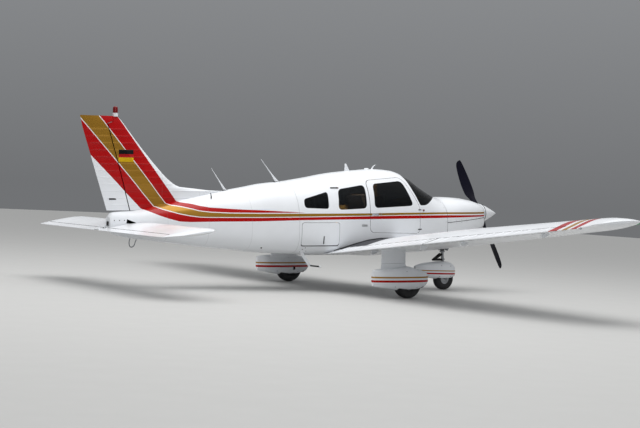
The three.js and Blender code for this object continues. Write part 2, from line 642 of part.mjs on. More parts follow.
// Cabin floor with the spar box and the wall behind the baggage space
const room = bodyLoft(FIREWALL_X - 2, TAIL_JOINT_X + 2, SKIN + SEAT_GAP);
const WIDE = [-600, 600];
const FLOOR = { low: 640, high: 668, front: 1470 };
const SPAR_BOX = { back: 20, front: 260, high: 760 };
const REAR_WALL = { thick: 14, low: 660, high: 1800 };
const SEAT_BASE = { halfLength: 170, halfWidth: 430, low: 660 };
const floorPlate = room.intersect(box(BULKHEAD_X, FLOOR.front, ...WIDE, FLOOR.low, FLOOR.high));
const sparBox = room.intersect(
  box(SPAR_BOX.back, SPAR_BOX.front, ...WIDE, FLOOR.low, SPAR_BOX.high));
const rearWall = room.intersect(
  box(BULKHEAD_X - REAR_WALL.thick, BULKHEAD_X, ...WIDE, REAR_WALL.low, REAR_WALL.high));
const seatBases = [REAR_SEAT_X, FRONT_SEAT_X].map((x) => box(
  x - SEAT_BASE.halfLength, x + SEAT_BASE.halfLength, -SEAT_BASE.halfWidth, SEAT_BASE.halfWidth,
  SEAT_BASE.low, SEAT_BASE_Z));
let cabinFloor = floorPlate.add(sparBox).add(rearWall);
for (const base of seatBases) cabinFloor = cabinFloor.add(base);

const FIREWALL_FRONT_X = FIREWALL_X + 8;
const firewall = bodyLoft(FIREWALL_FRONT_X, FIREWALL_X, 3);

// Instrument panel under its shield, with both control wheels on their shafts
function controlWheel(y) {
  const rim = sidePrism([[0, -70], [0, 70], [24, 70], [24, -70]], 0, -130, 130);
  const grip = rim.subtract(sidePrism([[-5, -8], [-5, 90], [40, 90], [40, -8]], 0, -95, 95));
  return grip.translate(865, y, 1180).add(rod([875, y, 1150], [1080, y, 1150], 14, 14, 12));
}
const shield = room.intersect(sidePrism(
  [[1045, 1000], [1020, 1320], [1080, 1346], [1440, 1338], [1440, 1300], [1110, 1290],
    [1110, 1000]], 10, -500, 500));
let instrumentPanel = shield;
for (const y of [-265, 265]) instrumentPanel = instrumentPanel.add(controlWheel(y));

// Seats, plain soft solids: a cushion and a back in one
function seat(width) {
  return sidePrism([
    [-190, 0], [-215, 60], [-330, 640], [-300, 700], [-215, 690], [-120, 150],
    [215, 150], [250, 110], [235, 0],
  ], 40, -width / 2, width / 2, 2);
}

// Cowling: two hollow halves with air inlets in front and an outlet below
const cowlWhole = bodyLoft(COWL_FRONT_X, FIREWALL_FRONT_X + SEAT_GAP, 0)
  .subtract(bodyLoft(COWL_FRONT_X - THIN_SKIN, FIREWALL_X, THIN_SKIN));
const inletShape = [[-90, -52], [-90, 52], [90, 52], [90, -52]];
function airInlet(y) {
  const prism = sidePrism(inletShape, 45, -200, 200);
  const ahead = turned(prism, new THREE.Matrix4().makeRotationZ(Math.PI / 2));
  return ahead.translate(COWL_FRONT_X, y, 1128);
}
const outlet = box(1590, 1990, -140, 140, 500, 760);
const SHAFT_RADIUS = 58;
const SHAFT_END_X = SPINNER_BASE_X - 20;
const SHAFT_HOLE = 62;
const hubHole = rod(
  [COWL_FRONT_X - 60, 0, PROP_Z], [COWL_FRONT_X + 40, 0, PROP_Z], SHAFT_HOLE, SHAFT_HOLE, 24);
const cowlOpen = cowlWhole.subtract(airInlet(-235)).subtract(airInlet(235))
  .subtract(outlet).subtract(hubHole);
function cowlHalf(edgeZ, lift) {
  const { rearX, rearZ, frontX, frontZ } = COWL_SPLIT;
  return sidePrism([
    [rearX, rearZ + lift], [frontX, frontZ + lift], [frontX, edgeZ], [rearX, edgeZ],
  ], 0, -700, 700);
}
const upperHalf = cowlHalf(1600, SEAT_GAP);
const lowerHalf = cowlHalf(400, 0);

// The engine as one plain mass, with its shaft out to the propeller
const engineBlock = box(1680, 2250, -340, 340, 985, 1240)
  .add(box(1872, 2180, -230, 230, 850, 1000))
  .add(box(FIREWALL_FRONT_X + SEAT_GAP, 1700, -120, 120, 960, 1180))
  .add(rod([2200, 0, PROP_Z], [SHAFT_END_X - SEAT_GAP, 0, PROP_Z],
    SHAFT_RADIUS, SHAFT_RADIUS, 24));

// Propeller: two twisted blades on a hub. columns: radius, chord, thickness, blade angle
const BLADE_STATIONS = [
  [280, 90, 50, 44], [420, 156, 34, 32], [600, 172, 24, 23], [800, 156, 17, 18],
  [950, 122, 12, 15], [PROP_RADIUS, 62, 7, 14],
];
// Outside its root the blade's chord lies BLADE_SETBACK shares of it behind the blade's axis.
const BLADE_SETBACK = 0.2;
const BLADE_ROOT_RADIUS = 190;
function bladeRing(radius, chord, thickness, angle) {
  const ring = [];
  const setback = radius > BLADE_ROOT_RADIUS ? BLADE_SETBACK * chord : 0;
  for (let i = 0; i < 12; i++) {
    const turn = 2 * Math.PI * i / 12;
    const along = chord / 2 * Math.cos(turn) - setback;
    const off = thickness / 2 * Math.sin(turn);
    const c = Math.cos(rad(angle));
    const s = Math.sin(rad(angle));
    ring.push(new THREE.Vector3(along * s + off * c, -along * c + off * s, radius));
  }
  return ring;
}
const shankDiameter = 2 * SHANK_RADIUS;
const blade = loft([
  bladeRing(20, shankDiameter, shankDiameter, 50),
  bladeRing(BLADE_ROOT_RADIUS, shankDiameter, shankDiameter, 50),
  ...BLADE_STATIONS.map((row) => bladeRing(...row)),
]);
const halfTurn = new THREE.Matrix4().makeRotationX(Math.PI);
const HUB_FRONT = 50;
const HUB_BACK = SHAFT_END_X - PROP_X;
const hub = rod([HUB_BACK, 0, 0], [HUB_FRONT, 0, 0], SHAFT_RADIUS, SHAFT_RADIUS, 24);
const bladeTurn = new THREE.Matrix4().makeRotationX(-(Math.PI / 2 - PROP_TURN));
const propeller = turned(blade.add(turned(blade, halfTurn)).add(hub), bladeTurn);
const HUB_GAP = 0.8;
const shankTunnel = rod(
  [0, 0, -400], [0, 0, 400], SHANK_RADIUS + HUB_GAP, SHANK_RADIUS + HUB_GAP, 24);
const hubPocket = rod(
  [HUB_BACK - 1, 0, 0], [HUB_FRONT + SEAT_GAP, 0, 0],
  SHAFT_RADIUS + HUB_GAP, SHAFT_RADIUS + HUB_GAP, 24);

function spinnerSolid() {
  const length = SPINNER_TIP_X - SPINNER_BASE_X;
  const profile = [new THREE.Vector2(0, 0), new THREE.Vector2(SPINNER_RADIUS, 0)];
  for (let i = 1; i < 9; i++) {
    const share = i / 9;
    const radius = SPINNER_RADIUS * (1 - share ** 1.2) ** 0.95;
    profile.push(new THREE.Vector2(radius, share * length));
  }
  profile.push(new THREE.Vector2(0, length));
  const geometry = new THREE.LatheGeometry(profile, 24);
  geometry.rotateZ(-Math.PI / 2);
  geometry.translate(SPINNER_BASE_X - PROP_X, 0, 0);
  return fromGeometry(geometry);
}
const spinner = spinnerSolid().subtract(turned(shankTunnel, bladeTurn)).subtract(hubPocket);

// Wheels: a tyre ring and a hub ring about the Y axis
// Every radius is to the middle of a flat, so that the wheel stands on one.
function ringSolid(profile) {
  const corner = 1 / Math.cos(Math.PI / WHEEL_SIDES);
  const points = profile.map(([r, y]) => new THREE.Vector2(r * corner, y));
  points.push(points[0].clone());
  return fromGeometry(new THREE.LatheGeometry(points, WHEEL_SIDES, Math.PI / WHEEL_SIDES));
}
function tyre({ radius, width, rim }) {
  const w = width / 2;
  return ringSolid([
    [rim + 0.4, -w * 0.62], [rim + 0.4, w * 0.62], [rim + 14, w * 0.86], [radius * 0.76, w],
    [radius * 0.92, w * 0.86], [radius, w * 0.42], [radius, -w * 0.42],
    [radius * 0.92, -w * 0.86], [radius * 0.76, -w], [rim + 14, -w * 0.86],
  ]);
}
function hubRing({ rim, width, axle }) {
  const w = width / 2;
  return ringSolid([
    [axle + 0.5, -w * 0.5], [axle + 0.5, w * 0.5], [axle + 24, w * 0.5], [rim * 0.7, w * 0.32],
    [rim, w * 0.6], [rim, -w * 0.6], [rim * 0.7, -w * 0.32], [axle + 24, -w * 0.5],
  ]);
}

// A ground-frame point seen in the craft frame
function inCraft(x, z) {
  return {
    x: x * Math.cos(PARKED_PITCH) + z * Math.sin(PARKED_PITCH),
    z: -x * Math.sin(PARKED_PITCH) + z * Math.cos(PARKED_PITCH),
  };
}
const mainAxle = inCraft(MAIN_WHEEL.x, MAIN_WHEEL.radius);
const noseAxle = inCraft(NOSE_WHEEL.x, NOSE_WHEEL.radius);

// Wheel fairings. columns: x, bottom, top, half width
const MAIN_PANT = [
  [-722, 200, 428, 30], [-560, 168, 440, 92], [-330, 128, 446, 130], [-110, 110, 462, 140],
  [-10, 112, 440, 139], [60, 122, 420, 134], [170, 158, 392, 108], [235, 205, 355, 72],
  [268, 250, 310, 26],
];
const NOSE_PANT = [
  [1282, 232, 318, 26], [1420, 168, 350, 78], [1600, 112, 366, 110], [1800, 88, 376, 122],
  [1940, 86, 366, 118], [2005, 98, 340, 106], [2062, 122, 292, 72], [2100, 160, 225, 32],
];
const PANT_POINTS = 16;
function pantRing([x, bottom, top, half], inset) {
  const ring = [];
  for (let i = 0; i < PANT_POINTS; i++) {
    const angle = 2 * Math.PI * (i + 0.5) / PANT_POINTS;
    const c = Math.cos(angle);
    const s = Math.sin(angle);
    const power = 2 / 3;
    ring.push(new THREE.Vector3(
      x,
      (half - inset) * Math.sign(c) * Math.abs(c) ** power,
      (bottom + top) / 2 + ((top - bottom) / 2 - inset) * Math.sign(s) * Math.abs(s) ** power,
    ));
  }
  return ring;
}
function pantShell(rows, wheel, axle, wall) {
  const outer = loft(rows.map((row) => pantRing(row, 0)));
  const inner = loft(rows.slice(1, -1).map((row) => pantRing(row, wall)));
  const slot = box(axle.x - wheel.radius - 16, axle.x + wheel.radius + 16,
    -wheel.width / 2 - 28, wheel.width / 2 + 28, -60, axle.z + 60);
  return outer.subtract(inner).subtract(slot);
}

// Main gear, port side: leg fairing, strut and stub axle in one; wheel fairing with its saddle
const LEG_Y = 1425;
const STRUT_Y = MAIN_WHEEL.y - MAIN_WHEEL.width / 2 - 32;
const SADDLE_TOP = 505;
function streamline(low, high) {
  const ring = ({ front, back, half, y, z }) => [
    [front, 0], [front - 14, half * 0.5], [front - 55, half * 0.9], [front - 120, half],
    [(front + back) / 2 - 20, half * 0.8], [back + 40, half * 0.28], [back, half * 0.08],
    [back, -half * 0.08], [back + 40, -half * 0.28], [(front + back) / 2 - 20, -half * 0.8],
    [front - 120, -half], [front - 55, -half * 0.9], [front - 14, -half * 0.5],
  ].map(([x, off]) => new THREE.Vector3(x, y + off, z));
  return loft([ring(low), ring(high)]);
}
const LEG = { front: -74, back: -500, half: 72, y: LEG_Y };
const SADDLE_FOOT = { front: -14, back: -548, half: 104, y: LEG_Y + 30, z: 400 };
const strutRod = (radius) => rod([mainAxle.x - 6, STRUT_Y, mainAxle.z - 30],
  [mainAxle.x - 60, STRUT_Y, 640], radius);
const stubAxle = rod([mainAxle.x, STRUT_Y - 12, mainAxle.z],
  [mainAxle.x, MAIN_WHEEL.y + 42, mainAxle.z], MAIN_WHEEL.axle, MAIN_WHEEL.axle, 24);
const legFairing = streamline({ ...LEG, z: SADDLE_TOP + SEAT_GAP }, { ...LEG, z: 760 })
  .subtract(wingWhole.translate(0, 0, -SEAT_GAP)).subtract(wingWhole);
const gearLeg = legFairing.add(strutRod(22)).add(stubAxle);
const saddle = streamline(SADDLE_FOOT, { ...LEG, z: SADDLE_TOP });
const WHEEL_ROOM = { radius: MAIN_WHEEL.radius + 8, half: MAIN_WHEEL.width / 2 + 8 };
const wheelRoom = rod(
  [mainAxle.x, MAIN_WHEEL.y - WHEEL_ROOM.half, mainAxle.z],
  [mainAxle.x, MAIN_WHEEL.y + WHEEL_ROOM.half, mainAxle.z],
  WHEEL_ROOM.radius, WHEEL_ROOM.radius, 48);
const mainPant = pantShell(MAIN_PANT, MAIN_WHEEL, mainAxle, 9)
  .translate(0, MAIN_WHEEL.y - 10, 0)
  .add(saddle.subtract(loft(MAIN_PANT.map((row) => pantRing(row, 3)))
    .translate(0, MAIN_WHEEL.y - 10, 0)))
  .subtract(wheelRoom).subtract(strutRod(22.9))
  .subtract(rod([mainAxle.x, 1300, mainAxle.z], [mainAxle.x, STRUT_Y + 20, mainAxle.z], 30));

// Nose gear, laid out about its own steering axis, local +Z up the strut
const STEER_TOP = { x: 1832, z: 720 };
const steerLean = Math.atan2(noseAxle.x - STEER_TOP.x, STEER_TOP.z - noseAxle.z);
const steerFrame = new THREE.Matrix4().makeTranslation(noseAxle.x, 0, noseAxle.z)
  .multiply(new THREE.Matrix4().makeRotationY(-steerLean));
const FORK_SIDE = NOSE_WHEEL.width / 2 + 9;
const forkParts = [
  rod([0, -FORK_SIDE - 14, 0], [0, FORK_SIDE + 14, 0], NOSE_WHEEL.axle, NOSE_WHEEL.axle, 24),
  box(-26, 26, FORK_SIDE, FORK_SIDE + 12, -26, 222),
  box(-26, 26, -FORK_SIDE - 12, -FORK_SIDE, -26, 222),
  box(-34, 34, -FORK_SIDE - 12, FORK_SIDE + 12, 196, 222),
  rod([0, 0, 215], [0, 0, 452], 23),
  rod([0, 0, 426], [0, 0, 452], 42),
  rod([0, 0, 298], [0, 0, 322], 36),
  sidePrism([[-20, 388], [-34, 412], [-208, 332], [-186, 306]], 4, -22, 22),
  sidePrism([[-20, 322], [-34, 298], [-208, 306], [-186, 332]], 4, -22, 22),
];
const noseFork = turned(forkParts.reduce((all, piece) => all.add(piece)), steerFrame);
const nosePant = pantShell(NOSE_PANT, NOSE_WHEEL, noseAxle, 8)
  .subtract(turned(rod([0, 0, 180], [0, 0, 420], 23.6), steerFrame));
const noseStrut = turned(
  rod([0, 0, 452 + SEAT_GAP], [0, 0, 760], 34).add(rod([0, 0, 470], [0, 0, 520], 44)), steerFrame)
  .add(box(FIREWALL_FRONT_X + SEAT_GAP, 1840, -60, 60, 745, 820));

// Outside fittings
const exhaustPipe = rod([1925, -90, 900], [1925, -90, 700], 28)
  .add(rod([1925, -90, 700], [1850, -90, 560], 28))
  .subtract(engineBlock.translate(0, 0, -SEAT_GAP)).subtract(engineBlock);
function whip(x, topX, topZ) {
  const base = bodyStation(x)[2];
  return rod([x, 0, base - 20], [topX, 0, topZ], 9, 4, 8)
    .add(rod([x, 0, base - 20], [x - 6, 0, base + 26], 20, 14, 12))
    .subtract(bodyOutside);
}
const bladeAntenna = sidePrism([[-28, 1790], [-100, 1920], [-132, 1920], [-142, 1780]], 6, -7, 7)
  .subtract(bodyOutside);
// Boarding step: a flat slanting strut, its side view in corners, with a round foot bar
const STEP_STRUT = [[-1225, 640], [-1168, 640], [-1002, 428], [-1045, 404]];
const STEP_BAR = { from: [-1018, -390, 420], to: [-880, -470, 405], radius: 12 };
const boardingStep = sidePrism(STEP_STRUT, 0, -400, -380)
  .add(rod(STEP_BAR.from, STEP_BAR.to, STEP_BAR.radius, STEP_BAR.radius, 12))
  .subtract(bodyOutside);
const beacon = rod([BEACON_X, 0, FIN_TOP_Z - 6], [BEACON_X, 0, FIN_TOP_Z + 38], 31, 34, 16)
  .add(rod([BEACON_X, 0, FIN_TOP_Z + 36], [BEACON_X, 0, FIN_TOP_Z + 118], 34, 30, 16))
  .add(rod([BEACON_X, 0, FIN_TOP_Z + 118], [BEACON_X, 0, FIN_TOP_Z + 132], 30, 16, 16))
  .subtract(turned(finWhole, upright).translate(0, 0, SEAT_GAP));

// Assembly
const aircraft = new THREE.Group();
aircraft.position.x = -BOX_CENTRE_X;
const craft = new THREE.Group();
craft.rotation.y = -PARKED_PITCH;
const ground = new THREE.Group();
aircraft.add(craft, ground);

function meshOf(name, solid, material) {
  const { vertProperties, triVerts } = solid.getMesh();
  const geometry = new THREE.BufferGeometry();
  geometry.setAttribute('position', new THREE.BufferAttribute(vertProperties, 3));
  geometry.setIndex(new THREE.BufferAttribute(triVerts, 1));
  geometry.computeVertexNormals();
  const mesh = new THREE.Mesh(geometry, material);
  mesh.name = name;
  return mesh;
}
function add(name, solid, material, group = craft) {
  const mesh = meshOf(name, solid, material);
  group.add(mesh);
  return mesh;
}

add('cabin_shell', cabinShell, WHITE);
add('cabin_floor', cabinFloor, CARPET);
add('firewall', firewall, STEEL);
add('cowl_upper', cowlOpen.intersect(upperHalf), WHITE);
add('cowl_lower', cowlOpen.intersect(lowerHalf), WHITE);
add('engine_block', engineBlock, CAST);
add('exhaust_pipe', exhaustPipe, STEEL);
add('tail_cone', tailCone, WHITE);
add('fin', fin, WHITE);
add('rudder', rudder, WHITE);
add('beacon', beacon, LAMP_RED);
add('stabilator', stabilator, WHITE);
add('stabilator_tab', tab, WHITE);
add('wing_left', wingLeft, WHITE);
add('wing_right', mirrored(wingPort), WHITE);
add('flap_left', flap.piece, WHITE);
add('flap_right', mirrored(flap.piece), WHITE);
add('aileron_left', aileron.piece, WHITE);
add('aileron_right', mirrored(aileron.piece), WHITE);
add('windscreen', pane(SCREEN, SCREEN_RADIUS, BOTH), GLASS);
add('glass_left_front', windowPane('front', PORT), GLASS);
for (const [side, range] of [['left', PORT], ['right', STARBOARD]]) {
  add(`glass_${side}_middle`, windowPane('middle', range), GLASS);
  add(`glass_${side}_rear`, windowPane('rear', range), GLASS);
}
add('cabin_door', cabinDoor, WHITE);
add('door_glass', windowPane('front', STARBOARD), GLASS);
add('baggage_door', baggageDoor, WHITE);
add('instrument_panel', instrumentPanel, PANEL_BLACK);
const SEATS = [
  ['seat_front_left', FRONT_SEAT_X, 232, 440], ['seat_front_right', FRONT_SEAT_X, -232, 440],
  ['seat_rear', REAR_SEAT_X, 0, 780],
];
for (const [name, x, y, width] of SEATS) {
  add(name, seat(width), LEATHER).position.set(x, y, SEAT_BASE_Z + SEAT_GAP);
}
for (const [side, flip] of [['left', (s) => s], ['right', mirrored]]) {
  add(`gear_leg_${side}`, flip(gearLeg), WHITE);
  add(`wheel_fairing_${side}`, flip(mainPant), WHITE);
  const y = side === 'left' ? MAIN_WHEEL.y : -MAIN_WHEEL.y;
  add(`tyre_${side}`, tyre(MAIN_WHEEL), RUBBER, ground).position.set(
    MAIN_WHEEL.x, y, MAIN_WHEEL.radius);
  add(`wheel_hub_${side}`, hubRing(MAIN_WHEEL), ALLOY, ground).position.set(
    MAIN_WHEEL.x, y, MAIN_WHEEL.radius);
}
add('nose_strut', noseStrut, STEEL);
add('nose_fork', noseFork, STEEL);
add('wheel_fairing_nose', nosePant, WHITE);
add('tyre_nose', tyre(NOSE_WHEEL), RUBBER, ground).position.set(
  NOSE_WHEEL.x, NOSE_WHEEL.y, NOSE_WHEEL.radius);
add('wheel_hub_nose', hubRing(NOSE_WHEEL), ALLOY, ground).position.set(
  NOSE_WHEEL.x, NOSE_WHEEL.y, NOSE_WHEEL.radius);
add('propeller', propeller, BLADE_BLACK).position.set(PROP_X, 0, PROP_Z);
add('spinner', spinner, WHITE).position.set(PROP_X, 0, PROP_Z);
add('antenna_front', whip(-1360, -1650, 1970), BLADE_BLACK);
add('antenna_rear', whip(-2240, -2490, 1830), BLADE_BLACK);
add('antenna_blade', bladeAntenna, WHITE);
add('boarding_step', boardingStep, ALLOY);

export default aircraft;
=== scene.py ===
"""Looks of a four-seat light aircraft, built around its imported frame.

Pieces are modelled in the craft's own level frame, in millimetres where a table says so and in
metres elsewhere, and are then set nose up on the wheels as the frame is.
"""

import math

import bpy
import numpy as np
from bpy.props import FloatProperty, FloatVectorProperty, IntProperty, PointerProperty
from mathutils import Matrix, Vector


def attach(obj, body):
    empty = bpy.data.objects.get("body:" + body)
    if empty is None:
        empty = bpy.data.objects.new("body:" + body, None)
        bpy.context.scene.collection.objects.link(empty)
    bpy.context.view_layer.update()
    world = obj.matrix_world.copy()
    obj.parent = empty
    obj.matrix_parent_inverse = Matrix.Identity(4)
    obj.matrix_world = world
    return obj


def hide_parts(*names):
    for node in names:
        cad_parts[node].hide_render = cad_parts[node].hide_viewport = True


bl_info = {
    "name": "Light Aircraft",
    "version": (1, 0, 0),
    "blender": (4, 5, 0),
    "location": "View3D > Sidebar > Aircraft",
    "description": "Skins, glazing, cabin, gear and finishes of a four-seat light aircraft",
    "category": "Object",
}

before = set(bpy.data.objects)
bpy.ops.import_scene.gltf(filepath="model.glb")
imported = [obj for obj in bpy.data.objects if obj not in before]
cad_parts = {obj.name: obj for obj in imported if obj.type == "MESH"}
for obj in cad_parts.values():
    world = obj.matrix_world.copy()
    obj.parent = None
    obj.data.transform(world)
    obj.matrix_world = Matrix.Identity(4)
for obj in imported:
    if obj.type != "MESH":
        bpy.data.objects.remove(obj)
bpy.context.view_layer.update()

MM = 0.001
PARKED_PITCH = math.radians(2.5)
CRAFT = Matrix.Translation((0.855, 0, 0)) @ Matrix.Rotation(-PARKED_PITCH, 4, "Y")
FLIP_Y = Matrix.Diagonal((1, -1, 1, 1))
SEAM = 0.009
SWING = 0.007
# The gap round a door, in mm
DOOR_GAP = 4.5
RUDDER_GAP = 0.012

# The body's sections, in mm: x, bottom, top, height of the widest point, half width,
# upper and lower squareness
BODY_ROWS = [
    (2575, 905, 1298, 1144, 175, 2.0, 3.2), (2540, 884, 1303, 1136, 222, 2.1, 3.2),
    (2480, 864, 1314, 1126, 290, 2.3, 3.2), (2400, 846, 1330, 1114, 350, 2.5, 3.1),
    (2250, 800, 1365, 1095, 415, 2.7, 3.0), (2000, 695, 1398, 1070, 478, 2.8, 3.2),
    (1780, 615, 1408, 1050, 510, 2.7, 3.4), (1600, 582, 1408, 1040, 526, 2.5, 3.6),
    (1490, 572, 1420, 1035, 536, 2.4, 3.7), (1400, 566, 1452, 1030, 545, 2.35, 3.8),
    (1250, 560, 1534, 1025, 552, 2.35, 3.9), (1050, 553, 1647, 1015, 562, 2.4, 4.0),
    (900, 550, 1741, 1010, 567, 2.4, 4.0), (650, 548, 1826, 1005, 571, 2.4, 4.0),
    (400, 548, 1842, 1000, 572, 2.4, 4.0), (0, 548, 1818, 1000, 572, 2.4, 4.0),
    (-400, 550, 1780, 1000, 568, 2.4, 4.0), (-900, 558, 1700, 1000, 550, 2.4, 3.8),
    (-1300, 582, 1645, 1010, 520, 2.3, 3.6), (-1650, 606, 1612, 1020, 482, 2.3, 3.4),
    (-1900, 626, 1570, 1025, 450, 2.3, 3.2), (-2200, 660, 1522, 1035, 405, 2.2, 3.0),
    (-2700, 712, 1436, 1040, 320, 2.2, 2.8), (-3300, 790, 1324, 1045, 222, 2.2, 2.6),
    (-3760, 850, 1229, 1042, 146, 2.3, 2.5), (-4000, 898, 1217, 1040, 108, 2.5, 2.5),
    (-4075, 936, 1202, 1040, 90, 2.5, 2.5), (-4105, 962, 1160, 1040, 76, 2.5, 2.5),
]
FIREWALL_X = 1.490
TAIL_JOINT_X = -1.300
TAIL_END_X = -4.105
COWL_FRONT_X = 2.575
COWL_SPLIT = [(1.400, 1.018), (2.700, 1.106)]

# Openings in side view, in mm: x, z of each corner
WINDOWS = {
    "front": [(33, 1262), (69, 1623), (645, 1671), (790, 1294)],
    "middle": [(-630, 1239), (-582, 1540), (-88, 1611), (-112, 1259)],
    "rear": [(-1199, 1271), (-1196, 1397), (-769, 1508), (-795, 1255)],
}
SCREEN = [
    (930, 1297), (812, 1560), (785, 1655), (755, 1745), (745, 1900), (1480, 1900), (1440, 1428),
    (1296, 1406), (1239, 1384), (1175, 1355), (1118, 1325), (1041, 1299),
]
CABIN_DOOR = [(-62, 898), (-45, 1675), (665, 1728), (911, 1290), (911, 864)]
BAGGAGE_DOOR = [(-1262, 712), (-1262, 1061), (-612, 1055), (-612, 704)]

# Aerofoils in shares of the chord: along, above, below
WING_FOIL = [
    (0.0, 0.0, 0.0), (0.0125, 0.0195, -0.0140), (0.05, 0.0395, -0.0255),
    (0.12, 0.0615, -0.0375), (0.25, 0.0855, -0.0497), (0.40, 0.0964, -0.0536),
    (0.55, 0.0891, -0.0453), (0.70, 0.0654, -0.0265), (0.83, 0.0378, -0.0085),
    (1.0, 0.0025, -0.0025),
]
TAIL_FOIL = [
    (0.0, 0.0, 0.0), (0.0125, 0.0155, -0.0155), (0.05, 0.0296, -0.0296),
    (0.12, 0.0410, -0.0410), (0.28, 0.0500, -0.0500), (0.45, 0.0468, -0.0468),
    (0.62, 0.0367, -0.0367), (0.80, 0.0219, -0.0219), (1.0, 0.0020, -0.0020),
]
INCIDENCE = math.tan(math.radians(2.5))
DIHEDRAL = math.tan(math.radians(7))
WING_ROOT_Y = 0.620
WING_KINK_Y = 2.690
AILERON_END_Y = 4.800
FLAP_START_Y = 0.605
WING_HINGE_SHARE = 0.83
FLAP_HINGES = (1.140, 2.250)
AILERON_HINGES = (3.050, 4.400)

# Fin and rudder, in mm: height, leading and trailing x, thickness as a share of full
FIN_ROWS = [
    (1080, -2300, -4076, 0.5), (1500, -2260, -4214, 0.5), (1533, -2870, -4225, 0.66),
    (1570, -3035, -4237, 0.8), (1640, -3157, -4260, 0.92), (1760, -3294, -4299, 1.0),
    (2117, -3631, -4416, 1.0), (2360, -3837, -4496, 0.97), (2485, -3942, -4527, 0.92),
    (2510, -3966, -4533, 0.8), (2520, -3984, -4535, 0.5),
]
RUDDER_LINE = [(1.237, -3.803), (2.428, -4.163)]
FIN_TOP_Z = 2.520
HORN_FRONT_X = -4.058
STABILATOR_ROWS = [
    (60, -3528, -4290, 1052, 976, 1.05), (1780, -3528, -4290, 1052, 976, 1.05),
    (1850, -3528, -4272, 1052, 978, 1.05), (1905, -3538, -4225, 1051, 982, 0.96),
    (1940, -3562, -4150, 1048, 989, 0.78), (1960, -3606, -4040, 1044, 1000, 0.42),
]
STABILATOR_HINGE = (-3.775, 1.035)

PROP_X, PROP_Z = 2.622, 1.138
PROP_TURN = 1.014
PROP_FRAME = CRAFT @ Matrix.Translation((PROP_X, 0, PROP_Z))
BLADE_LEAN = Matrix.Rotation(PROP_TURN - math.pi / 2, 4, "X")
# Blade sections, in mm and degrees: radius, chord, thickness, angle
BLADE_ROWS = [
    (190, 76, 76, 50), (280, 90, 50, 44), (420, 156, 34, 32), (600, 172, 24, 23),
    (800, 156, 17, 18), (950, 122, 12, 15), (1000, 86, 9, 14), (1015, 48, 6, 14),
]
SPINNER_TIP_X, SPINNER_BASE_X, SPINNER_RADIUS = 2.985, 2.595, 0.160

# Wheels in the level ground frame, in metres
GROUND = Matrix.Translation((0.855, 0, 0))
MAIN_WHEEL = {"x": -0.110, "y": 1.525, "radius": 0.2185, "width": 0.155, "rim": 0.098,
              "axle": 0.022}
NOSE_WHEEL = {"x": 1.865, "y": 0.0, "radius": 0.178, "width": 0.125, "rim": 0.082,
              "axle": 0.014}
# Wheel fairings, in mm: x, bottom, top, half width
MAIN_PANT = [
    (-722, 200, 428, 30), (-560, 168, 440, 92), (-330, 128, 446, 130), (-110, 110, 462, 140),
    (-10, 112, 440, 139), (60, 122, 420, 134), (170, 158, 392, 108), (235, 205, 355, 72),
    (268, 250, 310, 26),
]
NOSE_PANT = [
    (1282, 232, 318, 26), (1420, 168, 350, 78), (1600, 112, 366, 110), (1800, 88, 376, 122),
    (1940, 86, 366, 118), (2005, 98, 340, 106), (2062, 122, 292, 72), (2100, 160, 225, 32),
]
PANT_Y = MAIN_WHEEL["y"] - 0.010
LEG_Y = 1.425
SADDLE_TOP = 0.505
STRUT_Y = MAIN_WHEEL["y"] - MAIN_WHEEL["width"] / 2 - 0.032


class AircraftSettings(bpy.types.PropertyGroup):
    """Colours and sizes that a user would change."""

    white: FloatVectorProperty(
        name="White", description="Main colour of the paint", subtype="COLOR",
        size=4, min=0, max=1, default=(0.80, 0.82, 0.85, 1))
    red: FloatVectorProperty(
        name="Red", description="Red bands of the paint", subtype="COLOR",
        size=4, min=0, max=1, default=(0.40, 0.001, 0.002, 1))
    gold: FloatVectorProperty(
        name="Gold", description="Gold bands of the paint", subtype="COLOR",
        size=4, min=0, max=1, default=(0.36, 0.185, 0.020, 1))
    lining: FloatVectorProperty(
        name="Lining", description="Moulded trim round the cabin windows", subtype="COLOR",
        size=4, min=0, max=1, default=(0.52, 0.30, 0.07, 1))
    # Dark brown seat covers; the dark tone is partly painted shade, standing for the shade over
    # the seats in the cabin.
    leather: FloatVectorProperty(
        name="Seats", description="Seat covers", subtype="COLOR",
        size=4, min=0, max=1, default=(0.13, 0.10, 0.07, 1))
    floor: FloatVectorProperty(
        name="Floor", description="Studio floor", subtype="COLOR",
        size=4, min=0, max=1, default=(0.50, 0.50, 0.49, 1))
    bead_height: FloatProperty(
        name="Bead height", description="How far the pressed beads stand out",
        default=0.0035, min=0, max=0.01, subtype="DISTANCE", unit="LENGTH")
    bead_pitch: FloatProperty(
        name="Bead pitch", description="Distance between the pressed beads",
        default=0.0935, min=0.03, max=0.4, subtype="DISTANCE", unit="LENGTH")
    ring_points: IntProperty(
        name="Ring points", description="Points round one section of the body",
        default=96, min=24, max=200)


def settings():
    return bpy.context.scene.aircraft


# Selecting, joining and cutting


def deselect():
    if bpy.context.object and bpy.context.object.mode != "OBJECT":
        bpy.ops.object.mode_set(mode="OBJECT")
    bpy.ops.object.select_all(action="DESELECT")


def use(piece):
    deselect()
    piece.select_set(True)
    bpy.context.view_layer.objects.active = piece
    return piece


def modify(piece, kind, **values):
    """Adds a modifier and applies it."""
    use(piece)
    bpy.ops.object.modifier_add(type=kind)
    modifier = piece.modifiers[-1]
    for key, value in values.items():
        setattr(modifier, key, value)
    bpy.ops.object.modifier_apply(modifier=modifier.name)
    return piece


def carve(piece, cutter, operation="DIFFERENCE", keep=False):
    modify(piece, "BOOLEAN", object=cutter, operation=operation, solver="MANIFOLD",
           material_mode="TRANSFER")
    if not keep:
        bpy.data.objects.remove(cutter)
    return piece


def twin_of(piece, matrix=None):
    twin = piece.copy()
    twin.data = piece.data.copy()
    bpy.context.collection.objects.link(twin)
    if matrix is not None:
        twin.data.transform(matrix)
        if matrix.determinant() < 0:
            twin.data.flip_normals()
    return twin


